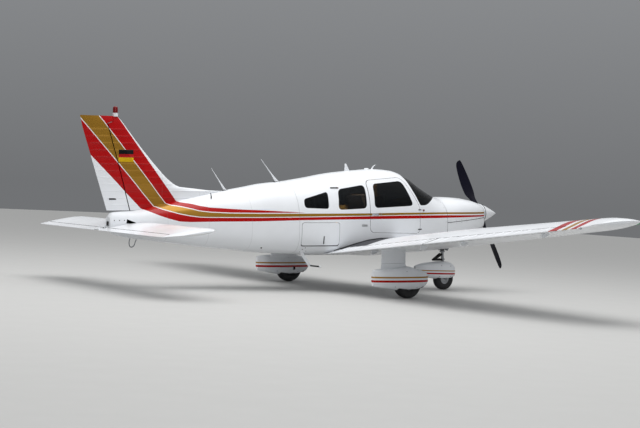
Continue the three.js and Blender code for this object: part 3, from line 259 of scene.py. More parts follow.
def joined(pieces):
    use(pieces[0])
    for piece in pieces:
        piece.select_set(True)
    bpy.ops.object.join()
    return pieces[0]


def applied():
    """The new primitive, with its place moved into its mesh."""
    bpy.ops.object.transform_apply(location=True, rotation=True, scale=True)
    return bpy.context.object


def painted(piece, finish):
    piece.data.materials.clear()
    piece.data.materials.append(finish)
    return piece


def placed(piece, name, body, replaces=(), finish=None, sharp=32, matrix=CRAFT):
    """Names a finished piece, stands it in the frame and lets it ride on its body."""
    piece.name = piece.data.name = name
    if finish:
        painted(piece, finish)
    piece.data.transform(matrix)
    use(piece)
    bpy.ops.object.shade_smooth_by_angle(angle=math.radians(sharp))
    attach(piece, body)
    if replaces:
        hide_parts(*replaces)
    return piece


# Solids


def bridge_rings(rings):
    """A closed skin through rings of points, with a flat face over each end."""
    deselect()
    count = len(rings[0])
    bpy.ops.mesh.primitive_circle_add(vertices=count)
    piece = bpy.context.object
    bpy.ops.object.mode_set(mode="EDIT")
    for _ in rings[1:]:
        bpy.ops.mesh.primitive_circle_add(vertices=count)
    bpy.ops.object.mode_set(mode="OBJECT")
    piece.data.vertices.foreach_set("co", np.array(rings, np.float32).ravel())
    bpy.ops.object.mode_set(mode="EDIT")
    bpy.ops.mesh.select_all(action="SELECT")
    bpy.ops.mesh.bridge_edge_loops()
    bpy.ops.mesh.select_all(action="SELECT")
    bpy.ops.mesh.fill_holes(sides=0)
    bpy.ops.mesh.select_all(action="SELECT")
    bpy.ops.mesh.normals_make_consistent(inside=False)
    bpy.ops.object.mode_set(mode="OBJECT")
    return piece


def extruded(points, step):
    """A flat outline of points, drawn out along a vector."""
    deselect()
    bpy.ops.mesh.primitive_circle_add(vertices=len(points), fill_type="NGON")
    piece = bpy.context.object
    piece.data.vertices.foreach_set("co", np.array(points, np.float32).ravel())
    bpy.ops.object.mode_set(mode="EDIT")
    bpy.ops.mesh.select_all(action="SELECT")
    bpy.ops.mesh.extrude_region_move(TRANSFORM_OT_translate={"value": tuple(step)})
    bpy.ops.mesh.select_all(action="SELECT")
    bpy.ops.mesh.normals_make_consistent(inside=False)
    bpy.ops.object.mode_set(mode="OBJECT")
    return piece


def rounded(corners, radius, steps=7):
    """An outline in side view with its corners rounded."""
    points = []
    count = len(corners)
    for i, corner in enumerate(corners):
        here = Vector(corner)
        back = Vector(corners[i - 1]) - here
        onward = Vector(corners[(i + 1) % count]) - here
        reach = min(radius, back.length * 0.45, onward.length * 0.45)
        enter = here + back.normalized() * reach
        leave = here + onward.normalized() * reach
        for k in range(steps + 1):
            t = k / steps
            points.append(enter * (1 - t) ** 2 + here * 2 * t * (1 - t) + leave * t * t)
    return points


def inset_outline(corners, margin):
    """The outline with each side moved inwards by a margin."""
    count = len(corners)
    area = sum(corners[i - 1][0] * corners[i][1] - corners[i][0] * corners[i - 1][1]
               for i in range(count))
    side = 1 if area > 0 else -1
    moved = []
    for i in range(count):
        here = Vector(corners[i])
        a = (here - Vector(corners[i - 1])).normalized()
        b = (Vector(corners[(i + 1) % count]) - here).normalized()
        na, nb = Vector((-a.y, a.x)) * side, Vector((-b.y, b.x)) * side
        moved.append(here + (na + nb) * (margin / max(0.3, 1 + na.dot(nb))))
    return moved


def side_block(corners, radius, y_from, y_to, margin=0.0, steps=7):
    """A prism across Y, its side view given in mm."""
    outline = rounded(inset_outline(corners, margin), radius, steps)
    points = [(x * MM, y_from, z * MM) for x, z in outline]
    return extruded(points, (0, y_to - y_from, 0))


def box(x0, x1, y0, y1, z0, z1, bevel=0.0, segments=2):
    deselect()
    bpy.ops.mesh.primitive_cube_add(
        size=1, location=((x0 + x1) / 2, (y0 + y1) / 2, (z0 + z1) / 2),
        scale=(x1 - x0, y1 - y0, z1 - z0))
    piece = applied()
    if bevel:
        modify(piece, "BEVEL", width=bevel, segments=segments, limit_method="ANGLE")
    return piece


def rod(start, end, radius, end_radius=None, sides=32, bevel=0.0):
    a, b = Vector(start), Vector(end)
    deselect()
    bpy.ops.mesh.primitive_cone_add(
        vertices=sides, radius1=radius, radius2=radius if end_radius is None else end_radius,
        depth=(b - a).length, location=(a + b) / 2,
        rotation=(b - a).to_track_quat("Z", "Y").to_euler())
    piece = applied()
    if bevel:
        modify(piece, "BEVEL", width=bevel, segments=2, limit_method="ANGLE",
               angle_limit=math.radians(50))
    return piece


def revolved(profile, steps, centre=(0, 0, 0), axis="Y"):
    """A closed profile of (radius, along) turned about an axis."""
    deselect()
    bpy.ops.mesh.primitive_circle_add(vertices=len(profile))
    piece = bpy.context.object
    points = {"X": [(a, r, 0) for r, a in profile], "Y": [(r, a, 0) for r, a in profile],
              "Z": [(r, 0, a) for r, a in profile]}[axis]
    piece.data.vertices.foreach_set("co", np.array(points, np.float32).ravel())
    modify(piece, "SCREW", axis=axis, angle=2 * math.pi, steps=steps, render_steps=steps,
           use_merge_vertices=True, merge_threshold=1e-6, use_normal_calculate=True)
    use(piece)
    bpy.ops.object.mode_set(mode="EDIT")
    bpy.ops.mesh.select_all(action="SELECT")
    bpy.ops.mesh.remove_doubles(threshold=1e-6)
    bpy.ops.mesh.normals_make_consistent(inside=False)
    bpy.ops.object.mode_set(mode="OBJECT")
    piece.data.transform(Matrix.Translation(centre))
    return piece


def tube(points, radius, sides=12, name="tube"):
    """A round bar along a smooth line through points."""
    line = bpy.data.curves.new(name, "CURVE")
    line.dimensions = "3D"
    line.bevel_depth = radius
    line.bevel_resolution = max(1, sides // 4 - 1)
    line.use_fill_caps = True
    line.resolution_u = 6
    spline = line.splines.new("BEZIER")
    spline.bezier_points.add(len(points) - 1)
    for knot, place in zip(spline.bezier_points, points):
        knot.co = place
        knot.handle_left_type = knot.handle_right_type = "AUTO"
    piece = bpy.data.objects.new(name, line)
    bpy.context.collection.objects.link(piece)
    use(piece)
    bpy.ops.object.convert(target="MESH")
    return bpy.context.object


def smooth_rows(rows):
    """Rows of numbers, the first the place along: a function that gives the rest at a place."""
    table = np.array(sorted(rows), float)
    at, values = table[:, 0], table[:, 1:]
    slopes = np.diff(values, axis=0) / np.diff(at)[:, None]
    rates = np.zeros_like(values)
    for i in range(1, len(at) - 1):
        before, after = slopes[i - 1], slopes[i]
        same = before * after > 0
        rates[i][same] = 2 * before[same] * after[same] / (before[same] + after[same])
    rates[0], rates[-1] = slopes[0], slopes[-1]

    def value(place):
        i = int(np.clip(np.searchsorted(at, place) - 1, 0, len(at) - 2))
        step = at[i + 1] - at[i]
        t = (place - at[i]) / step
        a = (1 + 2 * t) * (1 - t) ** 2 * values[i] + t * (1 - t) ** 2 * step * rates[i]
        b = t * t * (3 - 2 * t) * values[i + 1] - t * t * (1 - t) * step * rates[i + 1]
        return a + b

    return value


# The body

body_at = smooth_rows(BODY_ROWS)


def even_points(points, count):
    """The same line with its points evenly spaced."""
    line = np.array(points)
    run = np.concatenate([[0], np.cumsum(np.linalg.norm(np.diff(line, axis=0), axis=1))])
    wanted = np.linspace(0, run[-1], count + 1)[:-1]
    return np.stack([np.interp(wanted, run, line[:, k]) for k in range(line.shape[1])], 1)


def body_ring(x, inset=0.0):
    bottom, top, middle, half, upper, lower = body_at(x / MM)
    half = half * MM - inset
    ring = []
    for reach, power, start in (((top - middle) * MM - inset, 2 / upper, 0),
                                ((bottom - middle) * MM + inset, 2 / lower, math.pi)):
        turns = np.linspace(start, start + math.pi, 200)
        across = np.sign(np.cos(turns)) * np.abs(np.cos(turns)) ** power
        rise = np.abs(np.sin(turns)) ** power
        points = np.stack([half * across, middle * MM + reach * rise], 1)
        ring.append(even_points(points, settings().ring_points // 2))
    flat = np.concatenate(ring)
    return np.insert(flat, 0, x, axis=1)


def body_solid(front, back, inset=0.0, step=0.045):
    stops = {row[0] * MM for row in BODY_ROWS if back + 0.01 < row[0] * MM < front - 0.01}
    count = math.ceil((front - back) / step)
    stops |= {front + (back - front) * i / count for i in range(count + 1)}
    places, last = [], None
    for x in sorted(stops, reverse=True):
        if last is None or last - x > 0.006:
            places.append(x)
            last = x
    places[-1] = back
    return bridge_rings([body_ring(x, inset) for x in places])


def side_y(x, z):
    """Half width of the body at a height."""
    bottom, top, middle, half, upper, lower = body_at(x / MM)
    z = z / MM
    share = (z - middle) / (top - middle) if z > middle else (middle - z) / (middle - bottom)
    power = upper if z > middle else lower
    return half * MM * max(0.0, 1 - min(1.0, share) ** power) ** (1 / power)


STARBOARD, PORT, BOTH = (-0.9, 0.0), (0.0, 0.9), (-0.9, 0.9)


def side_frame(x, z, side=-1):
    """A frame on the body's skin: X forward, Z up the skin, Y out of it."""
    step = 0.01
    here = Vector((x, side * side_y(x, z), z))
    ahead = Vector((x + step, side * side_y(x + step, z), z)) - here
    above = Vector((x, side * side_y(x, z + step), z + step)) - here
    ahead.normalize()
    out = (above.cross(ahead) if side > 0 else ahead.cross(above)).normalized()
    rise = out.cross(ahead) if ahead.cross(out).z < 0 else ahead.cross(out)
    turn = Matrix((ahead, out, rise)).transposed().to_4x4()
    return Matrix.Translation(here) @ turn


# Flying surfaces


def foil_points(foil, count=26):
    """Points round an aerofoil from its nose: along and off, in shares of the chord."""
    above = smooth_rows([(math.sqrt(a), up) for a, up, _ in foil])
    below = smooth_rows([(math.sqrt(a), down) for a, _, down in foil])
    roots = [(1 - math.cos(math.pi * k / (2 * count))) ** 0.5 for k in range(count + 1)]
    upper = [(r * r, float(above(r)[0])) for r in roots[1:]]
    lower = [(r * r, float(below(r)[0])) for r in roots[1:]]
    return [(0.0, 0.0), *upper, *lower[::-1]]


WING_OUTLINE = foil_points(WING_FOIL)
TAIL_OUTLINE = foil_points(TAIL_FOIL)


def foil_ring(outline, station, raised=0.0):
    """One section across Y. A station holds span, lead, trail, rise, drop and thickness."""
    span, lead, trail, rise, drop, thick = station
    chord = lead - trail
    ring = []
    for along, off in outline:
        proud = raised * min(1.0, along * 12, max(0.0, 0.985 - along) * 12)
        ring.append((
            lead - chord * along, span,
            rise + (drop - rise) * along + off * chord * thick + math.copysign(proud, off)))
    return ring


def station_at(rows, span):
    """The straight-line station between rows in mm."""
    last = len(rows) - 2
    i = 0
    while i < last and span / MM > rows[i + 1][0]:
        i += 1
    a, b = rows[i], rows[i + 1]
    share = (span / MM - a[0]) / (b[0] - a[0])
    values = [p + (q - p) * share for p, q in zip(a, b)]
    return [v * MM for v in values[:-1]] + [values[-1]]


def beaded_spans(start, end, beads, half_width=0.007):
    """Places along a span, each with how far the skin is raised there, from 0 to 1."""
    spans = {round(start, 5): 0.0, round(end, 5): 0.0}
    for i in range(1, int((end - start) / 0.06)):
        spans[round(start + (end - start) * i * 0.06 / (end - start), 5)] = 0.0
    for bead in beads:
        for share, height in ((-1.6, 0), (-1, 0.12), (-0.45, 0.85), (0, 1),
                              (0.45, 0.85), (1, 0.12), (1.6, 0)):
            spans[round(bead + share * half_width, 5)] = height
    kept = []
    for place in sorted(spans):
        near = min((abs(place - bead) for bead in beads), default=1)
        if spans[place] == 0 and near < 1.5 * half_width and place not in (start, end):
            continue
        kept.append((place, spans[place]))
    return kept


def surface_solid(outline, rows, start, end, beads=()):
    height = settings().bead_height
    return bridge_rings([
        foil_ring(outline, station_at(rows, place), raise_by * height)
        for place, raise_by in beaded_spans(start, end, beads)])


def hinge_at(foil, rows, span, share):
    """The middle of a section at a share of its chord: x, z and half the thickness."""
    _, lead, trail, rise, drop, thick = station_at(rows, span)
    chord = lead - trail
    up = np.interp(share, [f[0] for f in foil], [f[1] for f in foil]) * chord * thick
    down = np.interp(share, [f[0] for f in foil], [f[2] for f in foil]) * chord * thick
    return (lead - chord * share, span, rise + (drop - rise) * share + (up + down) / 2,
            (up - down) / 2)


def wing_top(x, y):
    """Height of the wing's upper skin."""
    _, lead, trail, rise, drop, thick = station_at(WING_ROWS, y)
    along = (lead - x) / (lead - trail)
    off = np.interp(along, [f[0] for f in WING_FOIL], [f[1] for f in WING_FOIL])
    return rise + (drop - rise) * along + float(off) * (lead - trail) * thick


def chord_height(x, y):
    """Height of the wing's chord line."""
    _, lead, trail, rise, drop, _ = station_at(WING_ROWS, y)
    return rise + (drop - rise) * (lead - x) / (lead - trail)


def behind_hinge(hinges, margin=0.0):
    """All that lies behind a row of hinge points, with a round nose about the hinge line."""
    arc = math.radians(80 if margin else 90)

    def run(x, y, z, radius):
        ring = []
        for i in range(13):
            angle = arc - i * arc / 6
            ring.append((x + (radius + margin) * math.cos(angle), y,
                         z + (radius + margin) * math.sin(angle)))
        edge = ring[0][0]
        return ring + [(edge, y, z - 0.25), (x - 0.9, y, z - 0.25), (x - 0.9, y, z + 0.25),
                       (edge, y, z + 0.25)]

    rows = np.array(hinges)
    first, last = rows[0].copy(), rows[-1].copy()
    first += (rows[0] - rows[1]) * margin / abs(rows[1][1] - rows[0][1])
    last += (rows[-1] - rows[-2]) * margin / abs(rows[-1][1] - rows[-2][1])
    return bridge_rings([run(*row) for row in [first, *rows[1:-1], last]])


def wing_row(span, lead, trail, thick=1.0, lift=0.0):
    rise = 682 + (span - WING_ROOT_Y / MM) * DIHEDRAL + lift
    return (span, lead, trail, rise, rise - INCIDENCE * (lead - trail), thick)


WING_ROWS = [
    wing_row(400, 795, -790), wing_row(2690, 795, -790), wing_row(5000, 655, -425),
    wing_row(5110, 641, -416, 0.95, 1.5), wing_row(5180, 622, -405, 0.85, 4),
    wing_row(5240, 594, -396, 0.73, 7), wing_row(5285, 560, -385, 0.6, 10),
    wing_row(5315, 502, -366, 0.44, 13), wing_row(5334, 430, -340, 0.22, 16),
]


# Materials


def shader_of(made):
    return made.node_tree.nodes["Principled BSDF"]


def plain(name, color, roughness, metallic=0.0, **sockets):
    made = bpy.data.materials.new(name)
    made.use_nodes = True
    shader = shader_of(made)
    shader.inputs["Base Color"].default_value = (*color[:3], 1)
    shader.inputs["Roughness"].default_value = roughness
    shader.inputs["Metallic"].default_value = metallic
    for key, value in sockets.items():
        shader.inputs[key.replace("_", " ")].default_value = value
    return made


def node(made, kind, inputs=None, **values):
    added = made.node_tree.nodes.new("ShaderNode" + kind)
    for key, value in values.items():
        setattr(added, key, value)
    for key, value in (inputs or {}).items():
        if isinstance(value, bpy.types.NodeSocket):
            made.node_tree.links.new(value, added.inputs[key])
        else:
            added.inputs[key].default_value = value
    return added


def feed(made, key, value):
    made.node_tree.links.new(value, shader_of(made).inputs[key])


def craft_place(made):
    """The place on the craft, in its level frame, in metres."""
    place = node(made, "TexCoord").outputs["Object"]
    turn = Matrix.Rotation(PARKED_PITCH, 4, "Y") @ Vector((-0.855, 0, 0))
    return node(made, "Mapping", {
        "Vector": place, "Location": tuple(turn), "Rotation": (0, PARKED_PITCH, 0),
    }).outputs["Vector"]


def maths(made, operation, a, b=0.0, c=0.0, clamp=False):
    made_node = node(made, "Math", operation=operation, use_clamp=clamp)
    for socket, value in zip(made_node.inputs, (a, b, c)):
        if isinstance(value, bpy.types.NodeSocket):
            made.node_tree.links.new(value, socket)
        else:
            socket.default_value = value
    return made_node.outputs[0]


def between(made, value, low, high):
    return maths(made, "MULTIPLY", maths(made, "GREATER_THAN", value, low),
                 maths(made, "LESS_THAN", value, high))


def mixed(made, share, a, b):
    """A mix of two colours; each is a colour or a socket."""
    blend = node(made, "Mix", data_type="RGBA")
    for index, value in ((0, share), (6, a), (7, b)):
        if isinstance(value, bpy.types.NodeSocket):
            made.node_tree.links.new(value, blend.inputs[index])
        elif index:
            blend.inputs[index].default_value = (*value[:3], 1)
        else:
            blend.inputs[index].default_value = value
    return blend.outputs[2]


def wear(made, place, color, base_roughness, grime=0.06, bump=0.02, scale=2.2):
    """Weathered paint: faint streaks in its colour, uneven gloss and a slight ripple."""
    broad = node(made, "TexNoise", {"Vector": place, "Scale": scale, "Detail": 5.0,
                                    "Roughness": 0.6}).outputs["Fac"]
    fine = node(made, "TexNoise", {"Vector": place, "Scale": 160.0, "Detail": 2.0}).outputs["Fac"]
    shade = maths(made, "MULTIPLY_ADD", broad, grime * 2, 1 - grime * 1.4)
    dirt = node(made, "HueSaturation", {"Value": shade, "Color": color}).outputs["Color"]
    feed(made, "Base Color", dirt)
    feed(made, "Roughness", maths(
        made, "MULTIPLY_ADD", broad, 0.12, base_roughness - 0.05))
    ripple = node(made, "Bump", {"Height": fine, "Strength": bump, "Distance": 0.002})
    feed(made, "Normal", ripple.outputs["Normal"])


# Livery lines in the level frame, in mm: x and the height of each line there
LINES = {
    "upper_red_top": [(-4600, 3309), (-3931, 2453), (-3071, 1352), (-2926, 1332), (-2799, 1301),
                      (-2663, 1279), (-2517, 1270), (-2225, 1252), (-1923, 1241), (-1449, 1217),
                      (-1200, 1204), (-1100, 1196), (2700, 1190)],
    "upper_red_low": [(-4600, 2926), (-3249, 1344), (-3221, 1318), (-3091, 1300), (-2960, 1272),
                      (-2822, 1238), (-2677, 1221), (-2382, 1208), (-1927, 1203), (-1200, 1203),
                      (2700, 1203)],
    "gold_top": [(-4600, 2910), (-3249, 1328), (-3216, 1305), (-3092, 1288), (-2961, 1260),
                 (-2823, 1227), (-2679, 1210), (-2383, 1196), (-1928, 1191), (-1289, 1190),
                 (-605, 1187), (0, 1186), (512, 1190), (1338, 1188), (2288, 1179), (2700, 1176)],
    "gold_low": [(-4600, 2569), (-3423, 1296), (-3350, 1262), (-3253, 1234), (-3117, 1197),
                 (-2976, 1170), (-2831, 1151), (-2684, 1146), (-1933, 1143), (-1300, 1146),
                 (-609, 1150), (-250, 1150), (510, 1156), (1334, 1159), (2281, 1151),
                 (2700, 1148)],
    "red_top": [(-4600, 2553), (-3423, 1280), (-3350, 1249), (-3253, 1221), (-3117, 1185),
                (-2976, 1159), (-2831, 1141), (-2684, 1136), (-1933, 1133), (-1300, 1136),
                (-609, 1140), (-250, 1142), (510, 1147), (1334, 1143), (2281, 1131),
                (2700, 1127)],
    "red_low": [(-4600, 2208), (-3624, 1263), (-3536, 1222), (-3410, 1168), (-3270, 1122),
                (-3127, 1086), (-2981, 1078), (-2500, 1082), (-2000, 1082), (-1296, 1094),
                (-609, 1098), (510, 1098), (1323, 1100), (2283, 1106), (2700, 1109)],
}
LINE_FROM, LINE_TO = -4.6, 2.7
LINE_LOW, LINE_HIGH = 1.0, 3.4
STRIPE_END_X = 2.52
SKIN_LAPS = ((-1.300, 0.36), (-2.050, 0.20), (-2.700, 0.20), (-3.300, 0.20))
PANEL_BOX = {"x": (-3.973, -3.750), "z": (1.902, 1.960, 2.006, 2.067)}


def line_height(made, along, name):
    """A livery line's height in metres where the surface is."""
    curve = node(made, "FloatCurve")
    points = curve.mapping.curves[0].points
    rows = [((x * MM - LINE_FROM) / (LINE_TO - LINE_FROM),
             (z * MM - LINE_LOW) / (LINE_HIGH - LINE_LOW)) for x, z in LINES[name]]
    for i, place in enumerate(rows):
        point = points[i] if i < 2 else points.new(*place)
        point.location = place
    for point in points:
        point.handle_type = "VECTOR"
    curve.mapping.update()
    made.node_tree.links.new(along, curve.inputs["Value"])
    return maths(made, "MULTIPLY_ADD", curve.outputs["Value"], LINE_HIGH - LINE_LOW, LINE_LOW)


def gloss(name):
    return plain(name, settings().white, 0.22, Coat_Weight=0.05, Coat_Roughness=0.06,
                 Specular_IOR_Level=0.28)


def livery_paint():
    """White gloss with the bands that sweep from the fin along the body."""
    made = gloss("livery_paint")
    place = craft_place(made)
    split = node(made, "SeparateXYZ", {"Vector": place})
    x, z = split.outputs["X"], split.outputs["Z"]
    along = maths(made, "MULTIPLY_ADD", x, 1 / (LINE_TO - LINE_FROM),
                  -LINE_FROM / (LINE_TO - LINE_FROM))
    heights = {name: line_height(made, along, name) for name in LINES}
    ahead = maths(made, "LESS_THAN", x, STRIPE_END_X)
    color = settings().white
    bands = [("red_low", "red_top", settings().red), ("gold_low", "gold_top", settings().gold),
             ("upper_red_low", "upper_red_top", settings().red)]
    gold_share = None
    for low, high, tone in bands:
        share = maths(made, "MULTIPLY", ahead, between(made, z, heights[low], heights[high]))
        color = mixed(made, share, color, tone)
        if low == "gold_low":
            gold_share = share
    low_x, high_x = PANEL_BOX["x"]
    on_panel = between(made, x, low_x, high_x)
    levels = PANEL_BOX["z"]
    for i, tone in enumerate([(0.80, 0.50, 0.01), (0.42, 0.01, 0.01), (0.008, 0.008, 0.009)]):
        share = maths(made, "MULTIPLY", on_panel, between(made, z, levels[i], levels[i + 1]))
        color = mixed(made, share, color, tone)
    laps = maths(made, "GREATER_THAN", x, 50.0)
    for lap, depth in SKIN_LAPS:
        line = maths(made, "MULTIPLY", between(made, x, lap - 0.003, lap + 0.003), depth)
        laps = maths(made, "ADD", laps, line)
    color = mixed(made, laps, color, (0.16, 0.165, 0.17))
    wear(made, place, color, 0.22)
    feed(made, "Metallic", maths(made, "MULTIPLY", gold_share, 0.4))
    return made


def white_paint():
    made = gloss("white_paint")
    wear(made, craft_place(made), settings().white, 0.22)
    return made


def wing_paint():
    """White gloss with three slanting bands over the tip."""
    made = gloss("wing_paint")
    place = craft_place(made)
    split = node(made, "SeparateXYZ", {"Vector": place})
    out = maths(made, "ABSOLUTE", split.outputs["Y"])
    run = maths(made, "MULTIPLY_ADD", split.outputs["X"], 0.27, out)
    up = node(made, "SeparateXYZ", {"Vector": node(made, "TexCoord").outputs["Normal"]})
    above = maths(made, "GREATER_THAN", up.outputs["Z"], -0.2)
    color = settings().white
    for low, high, tone in ((4.585, 4.725, settings().red), (4.795, 4.880, settings().gold),
                            (4.930, 5.030, settings().red)):
        share = maths(made, "MULTIPLY", above, between(made, run, low, high))
        color = mixed(made, share, color, tone)
    wear(made, place, color, 0.22)
    return made


def gear_paint(name, gold_z, red_z, slope=0.0):
    """White gloss with a thin gold and a thin red line round a wheel fairing."""
    made = gloss(name)
    place = craft_place(made)
    split = node(made, "SeparateXYZ", {"Vector": place})
    level = maths(made, "MULTIPLY_ADD", split.outputs["X"], slope, split.outputs["Z"])
    color = mixed(made, between(made, level, *gold_z), settings().white, settings().gold)
    color = mixed(made, between(made, level, *red_z), color, settings().red)
    wear(made, place, color, 0.24, grime=0.12)
    return made


def bare_metal(name, color, roughness):
    made = plain(name, color, roughness, 1.0)
    place = node(made, "TexCoord").outputs["Object"]
    grain = node(made, "TexNoise", {"Vector": place, "Scale": 60.0, "Detail": 6.0}).outputs["Fac"]
    feed(made, "Roughness", maths(made, "MULTIPLY_ADD", grain, 0.25, roughness - 0.1))
    bump = node(made, "Bump", {"Height": grain, "Strength": 0.08, "Distance": 0.001})
    feed(made, "Normal", bump.outputs["Normal"])
    return made


def grained(name, color, roughness, scale, strength=0.35, spread=0.25, **sockets):
    """A matt finish with a fine grain: rubber, plastic, carpet or leather."""
    made = plain(name, color, roughness, **sockets)
    place = node(made, "TexCoord").outputs["Object"]
    cells = node(made, "TexVoronoi", {"Vector": place, "Scale": scale}).outputs["Distance"]
    cloud = node(made, "TexNoise", {"Vector": place, "Scale": 7.0, "Detail": 5.0}).outputs["Fac"]
    darker = tuple(c * (1 - spread) for c in color[:3])
    lighter = tuple(min(1, c * (1 + spread)) for c in color[:3])
    feed(made, "Base Color", mixed(made, cloud, darker, lighter))
    feed(made, "Roughness", maths(made, "MULTIPLY_ADD", cells, 0.15, roughness - 0.05))
    bump = node(made, "Bump", {"Height": cells, "Strength": strength, "Distance": 0.0015})
    feed(made, "Normal", bump.outputs["Normal"])
    return made


def window_glass():
    made = plain("window_glass", (0.003, 0.004, 0.005), 0.03, Alpha=0.68,
                 Specular_IOR_Level=0.16)
    place = node(made, "TexCoord").outputs["Object"]
    haze = node(made, "TexNoise", {"Vector": place, "Scale": 9.0, "Detail": 6.0}).outputs["Fac"]
    feed(made, "Roughness", maths(made, "MULTIPLY_ADD", haze, 0.06, 0.0))
    return made


def lamp_glass(name, color, alpha=0.9):
    made = plain(name, color, 0.2, Alpha=alpha, Specular_IOR_Level=0.3)
    place = node(made, "TexCoord").outputs["Object"]
    ribs = node(made, "TexWave", {"Vector": place, "Scale": 90.0}).outputs["Fac"]
    bump = node(made, "Bump", {"Height": ribs, "Strength": 0.12, "Distance": 0.001})
    feed(made, "Normal", bump.outputs["Normal"])
    return made


FINISHES = {}


def finish(name):
    """Each finish is made once, when a piece first asks for it."""
    if name not in FINISHES:
        FINISHES[name] = FINISH_MAKERS[name]()
    return FINISHES[name]


FINISH_MAKERS = {
    "livery": livery_paint,
    "white": white_paint,
    "wing": wing_paint,
    "main_fairing": lambda: gear_paint(
        "main_fairing_paint", (0.298, 0.320), (0.238, 0.270), slope=0.022),
    "nose_fairing": lambda: gear_paint(
        "nose_fairing_paint", (0.299, 0.315), (0.249, 0.275), slope=0.0437),
    "glass": window_glass,
    "lining": lambda: grained("lining_plastic", settings().lining, 0.5, 700, 0.2, 0.12),
    "carpet": lambda: grained("floor_carpet", (0.10, 0.09, 0.08), 0.95, 1200, 0.8),
    # Seat covers in a dark brown that is partly painted shade.
    "leather": lambda: grained("seat_leather_darkened_for_shade", settings().leather, 0.5, 420, 0.3),
    "panel": lambda: grained("panel_crackle", (0.018, 0.018, 0.020), 0.75, 1500, 0.5),
    "seal": lambda: grained("seal_rubber", (0.012, 0.012, 0.013), 0.7, 900, 0.3),
    "rubber": lambda: grained("tyre_rubber", (0.018, 0.018, 0.019), 0.8, 650, 0.5),
    # Near-black. Most pieces use it as painted shade on the faces inside hollows, holes and gaps.
    # Dial faces, scissor links and small marks use it as their own black.
    "dark": lambda: grained("black_and_painted_shade", (0.01, 0.01, 0.011), 0.9, 300, 0.2),
    "blade": lambda: grained("blade_paint", (0.004, 0.004, 0.010), 0.5, 800, 0.12,
                             Specular_IOR_Level=0.08),
    "walkway": lambda: grained("walkway_grit", (0.080, 0.082, 0.090), 0.95, 2200, 0.9,
                               Specular_IOR_Level=0.0),
    "alloy": lambda: bare_metal("cast_alloy", (0.55, 0.56, 0.58), 0.35),
    "steel": lambda: bare_metal("dark_steel", (0.28, 0.29, 0.31), 0.38),
    "white_metal": lambda: bare_metal("painted_tube", (0.72, 0.73, 0.74), 0.35),
    "plate": lambda: bare_metal("blank_plate_metal", (0.50, 0.51, 0.52), 0.4),
    "green_lamp": lambda: lamp_glass("green_lamp_glass", (0.01, 0.30, 0.10)),
    "chrome": lambda: bare_metal("bright_steel", (0.72, 0.73, 0.75), 0.18),
    "engine": lambda: bare_metal("engine_casting", (0.14, 0.14, 0.15), 0.55),
    "red_lamp": lambda: lamp_glass("red_lamp_glass", (0.17, 0.003, 0.004)),
    "clear_lamp": lambda: lamp_glass("clear_lamp_glass", (0.35, 0.37, 0.4), 0.6),
    "floor": lambda: grained("studio_floor", settings().floor, 0.7, 3, 0.0, 0.015),
}


# Pieces


def with_openings(piece, finish_name, openings):
    for corners, radius, side, margin in openings:
        cutter = painted(side_block(corners, radius, *side, margin=margin), finish(finish_name))
        carve(piece, cutter)
    return piece


class AIRCRAFT_OT_fuselage(bpy.types.Operator):
    """Cabin shell and tail cone skins"""

    bl_idname = "aircraft.fuselage"
    bl_label = "Fuselage"

    def execute(self, context):
        windows = [(WINDOWS["middle"], 75, BOTH, 0), (WINDOWS["rear"], 50, BOTH, 0),
                   (WINDOWS["front"], 75, PORT, 0), (SCREEN, 30, BOTH, 0)]
        cabin = painted(body_solid(FIREWALL_X - SEAM / 2, TAIL_JOINT_X), finish("livery"))
        inner = painted(body_solid(FIREWALL_X + 0.01, TAIL_JOINT_X - 0.01, 0.030),
                        finish("lining"))
        carve(cabin, inner)
        with_openings(cabin, "seal", windows)
        with_openings(cabin, "seal", [(CABIN_DOOR, 90, STARBOARD, 0),
                                      (BAGGAGE_DOOR, 45, STARBOARD, 0)])
        placed(cabin, "cabin_skin", "airframe", ["cabin_shell"])

        tail = painted(body_solid(TAIL_JOINT_X - 0.0015, TAIL_END_X), finish("livery"))
        # The tail cone's inside and the faces of the stabilator's hole and slot are painted
        # near-black as painted shade.
        carve(tail, painted(body_solid(TAIL_JOINT_X + 0.01, -3.960, 0.014), finish("dark")))
        x, z = STABILATOR_HINGE
        carve(tail, painted(rod((x, -0.4, z), (x, 0.4, z), 0.0266), finish("dark")))
        slot = [(-3892, 1062), (-3880, 1122), (-3752, 1072), (-3752, 1058)]
        carve(tail, painted(side_block(slot, 6, -0.4, 0.4), finish("dark")))
        placed(tail, "tail_cone_skin", "airframe", ["tail_cone"])
        return {"FINISHED"}


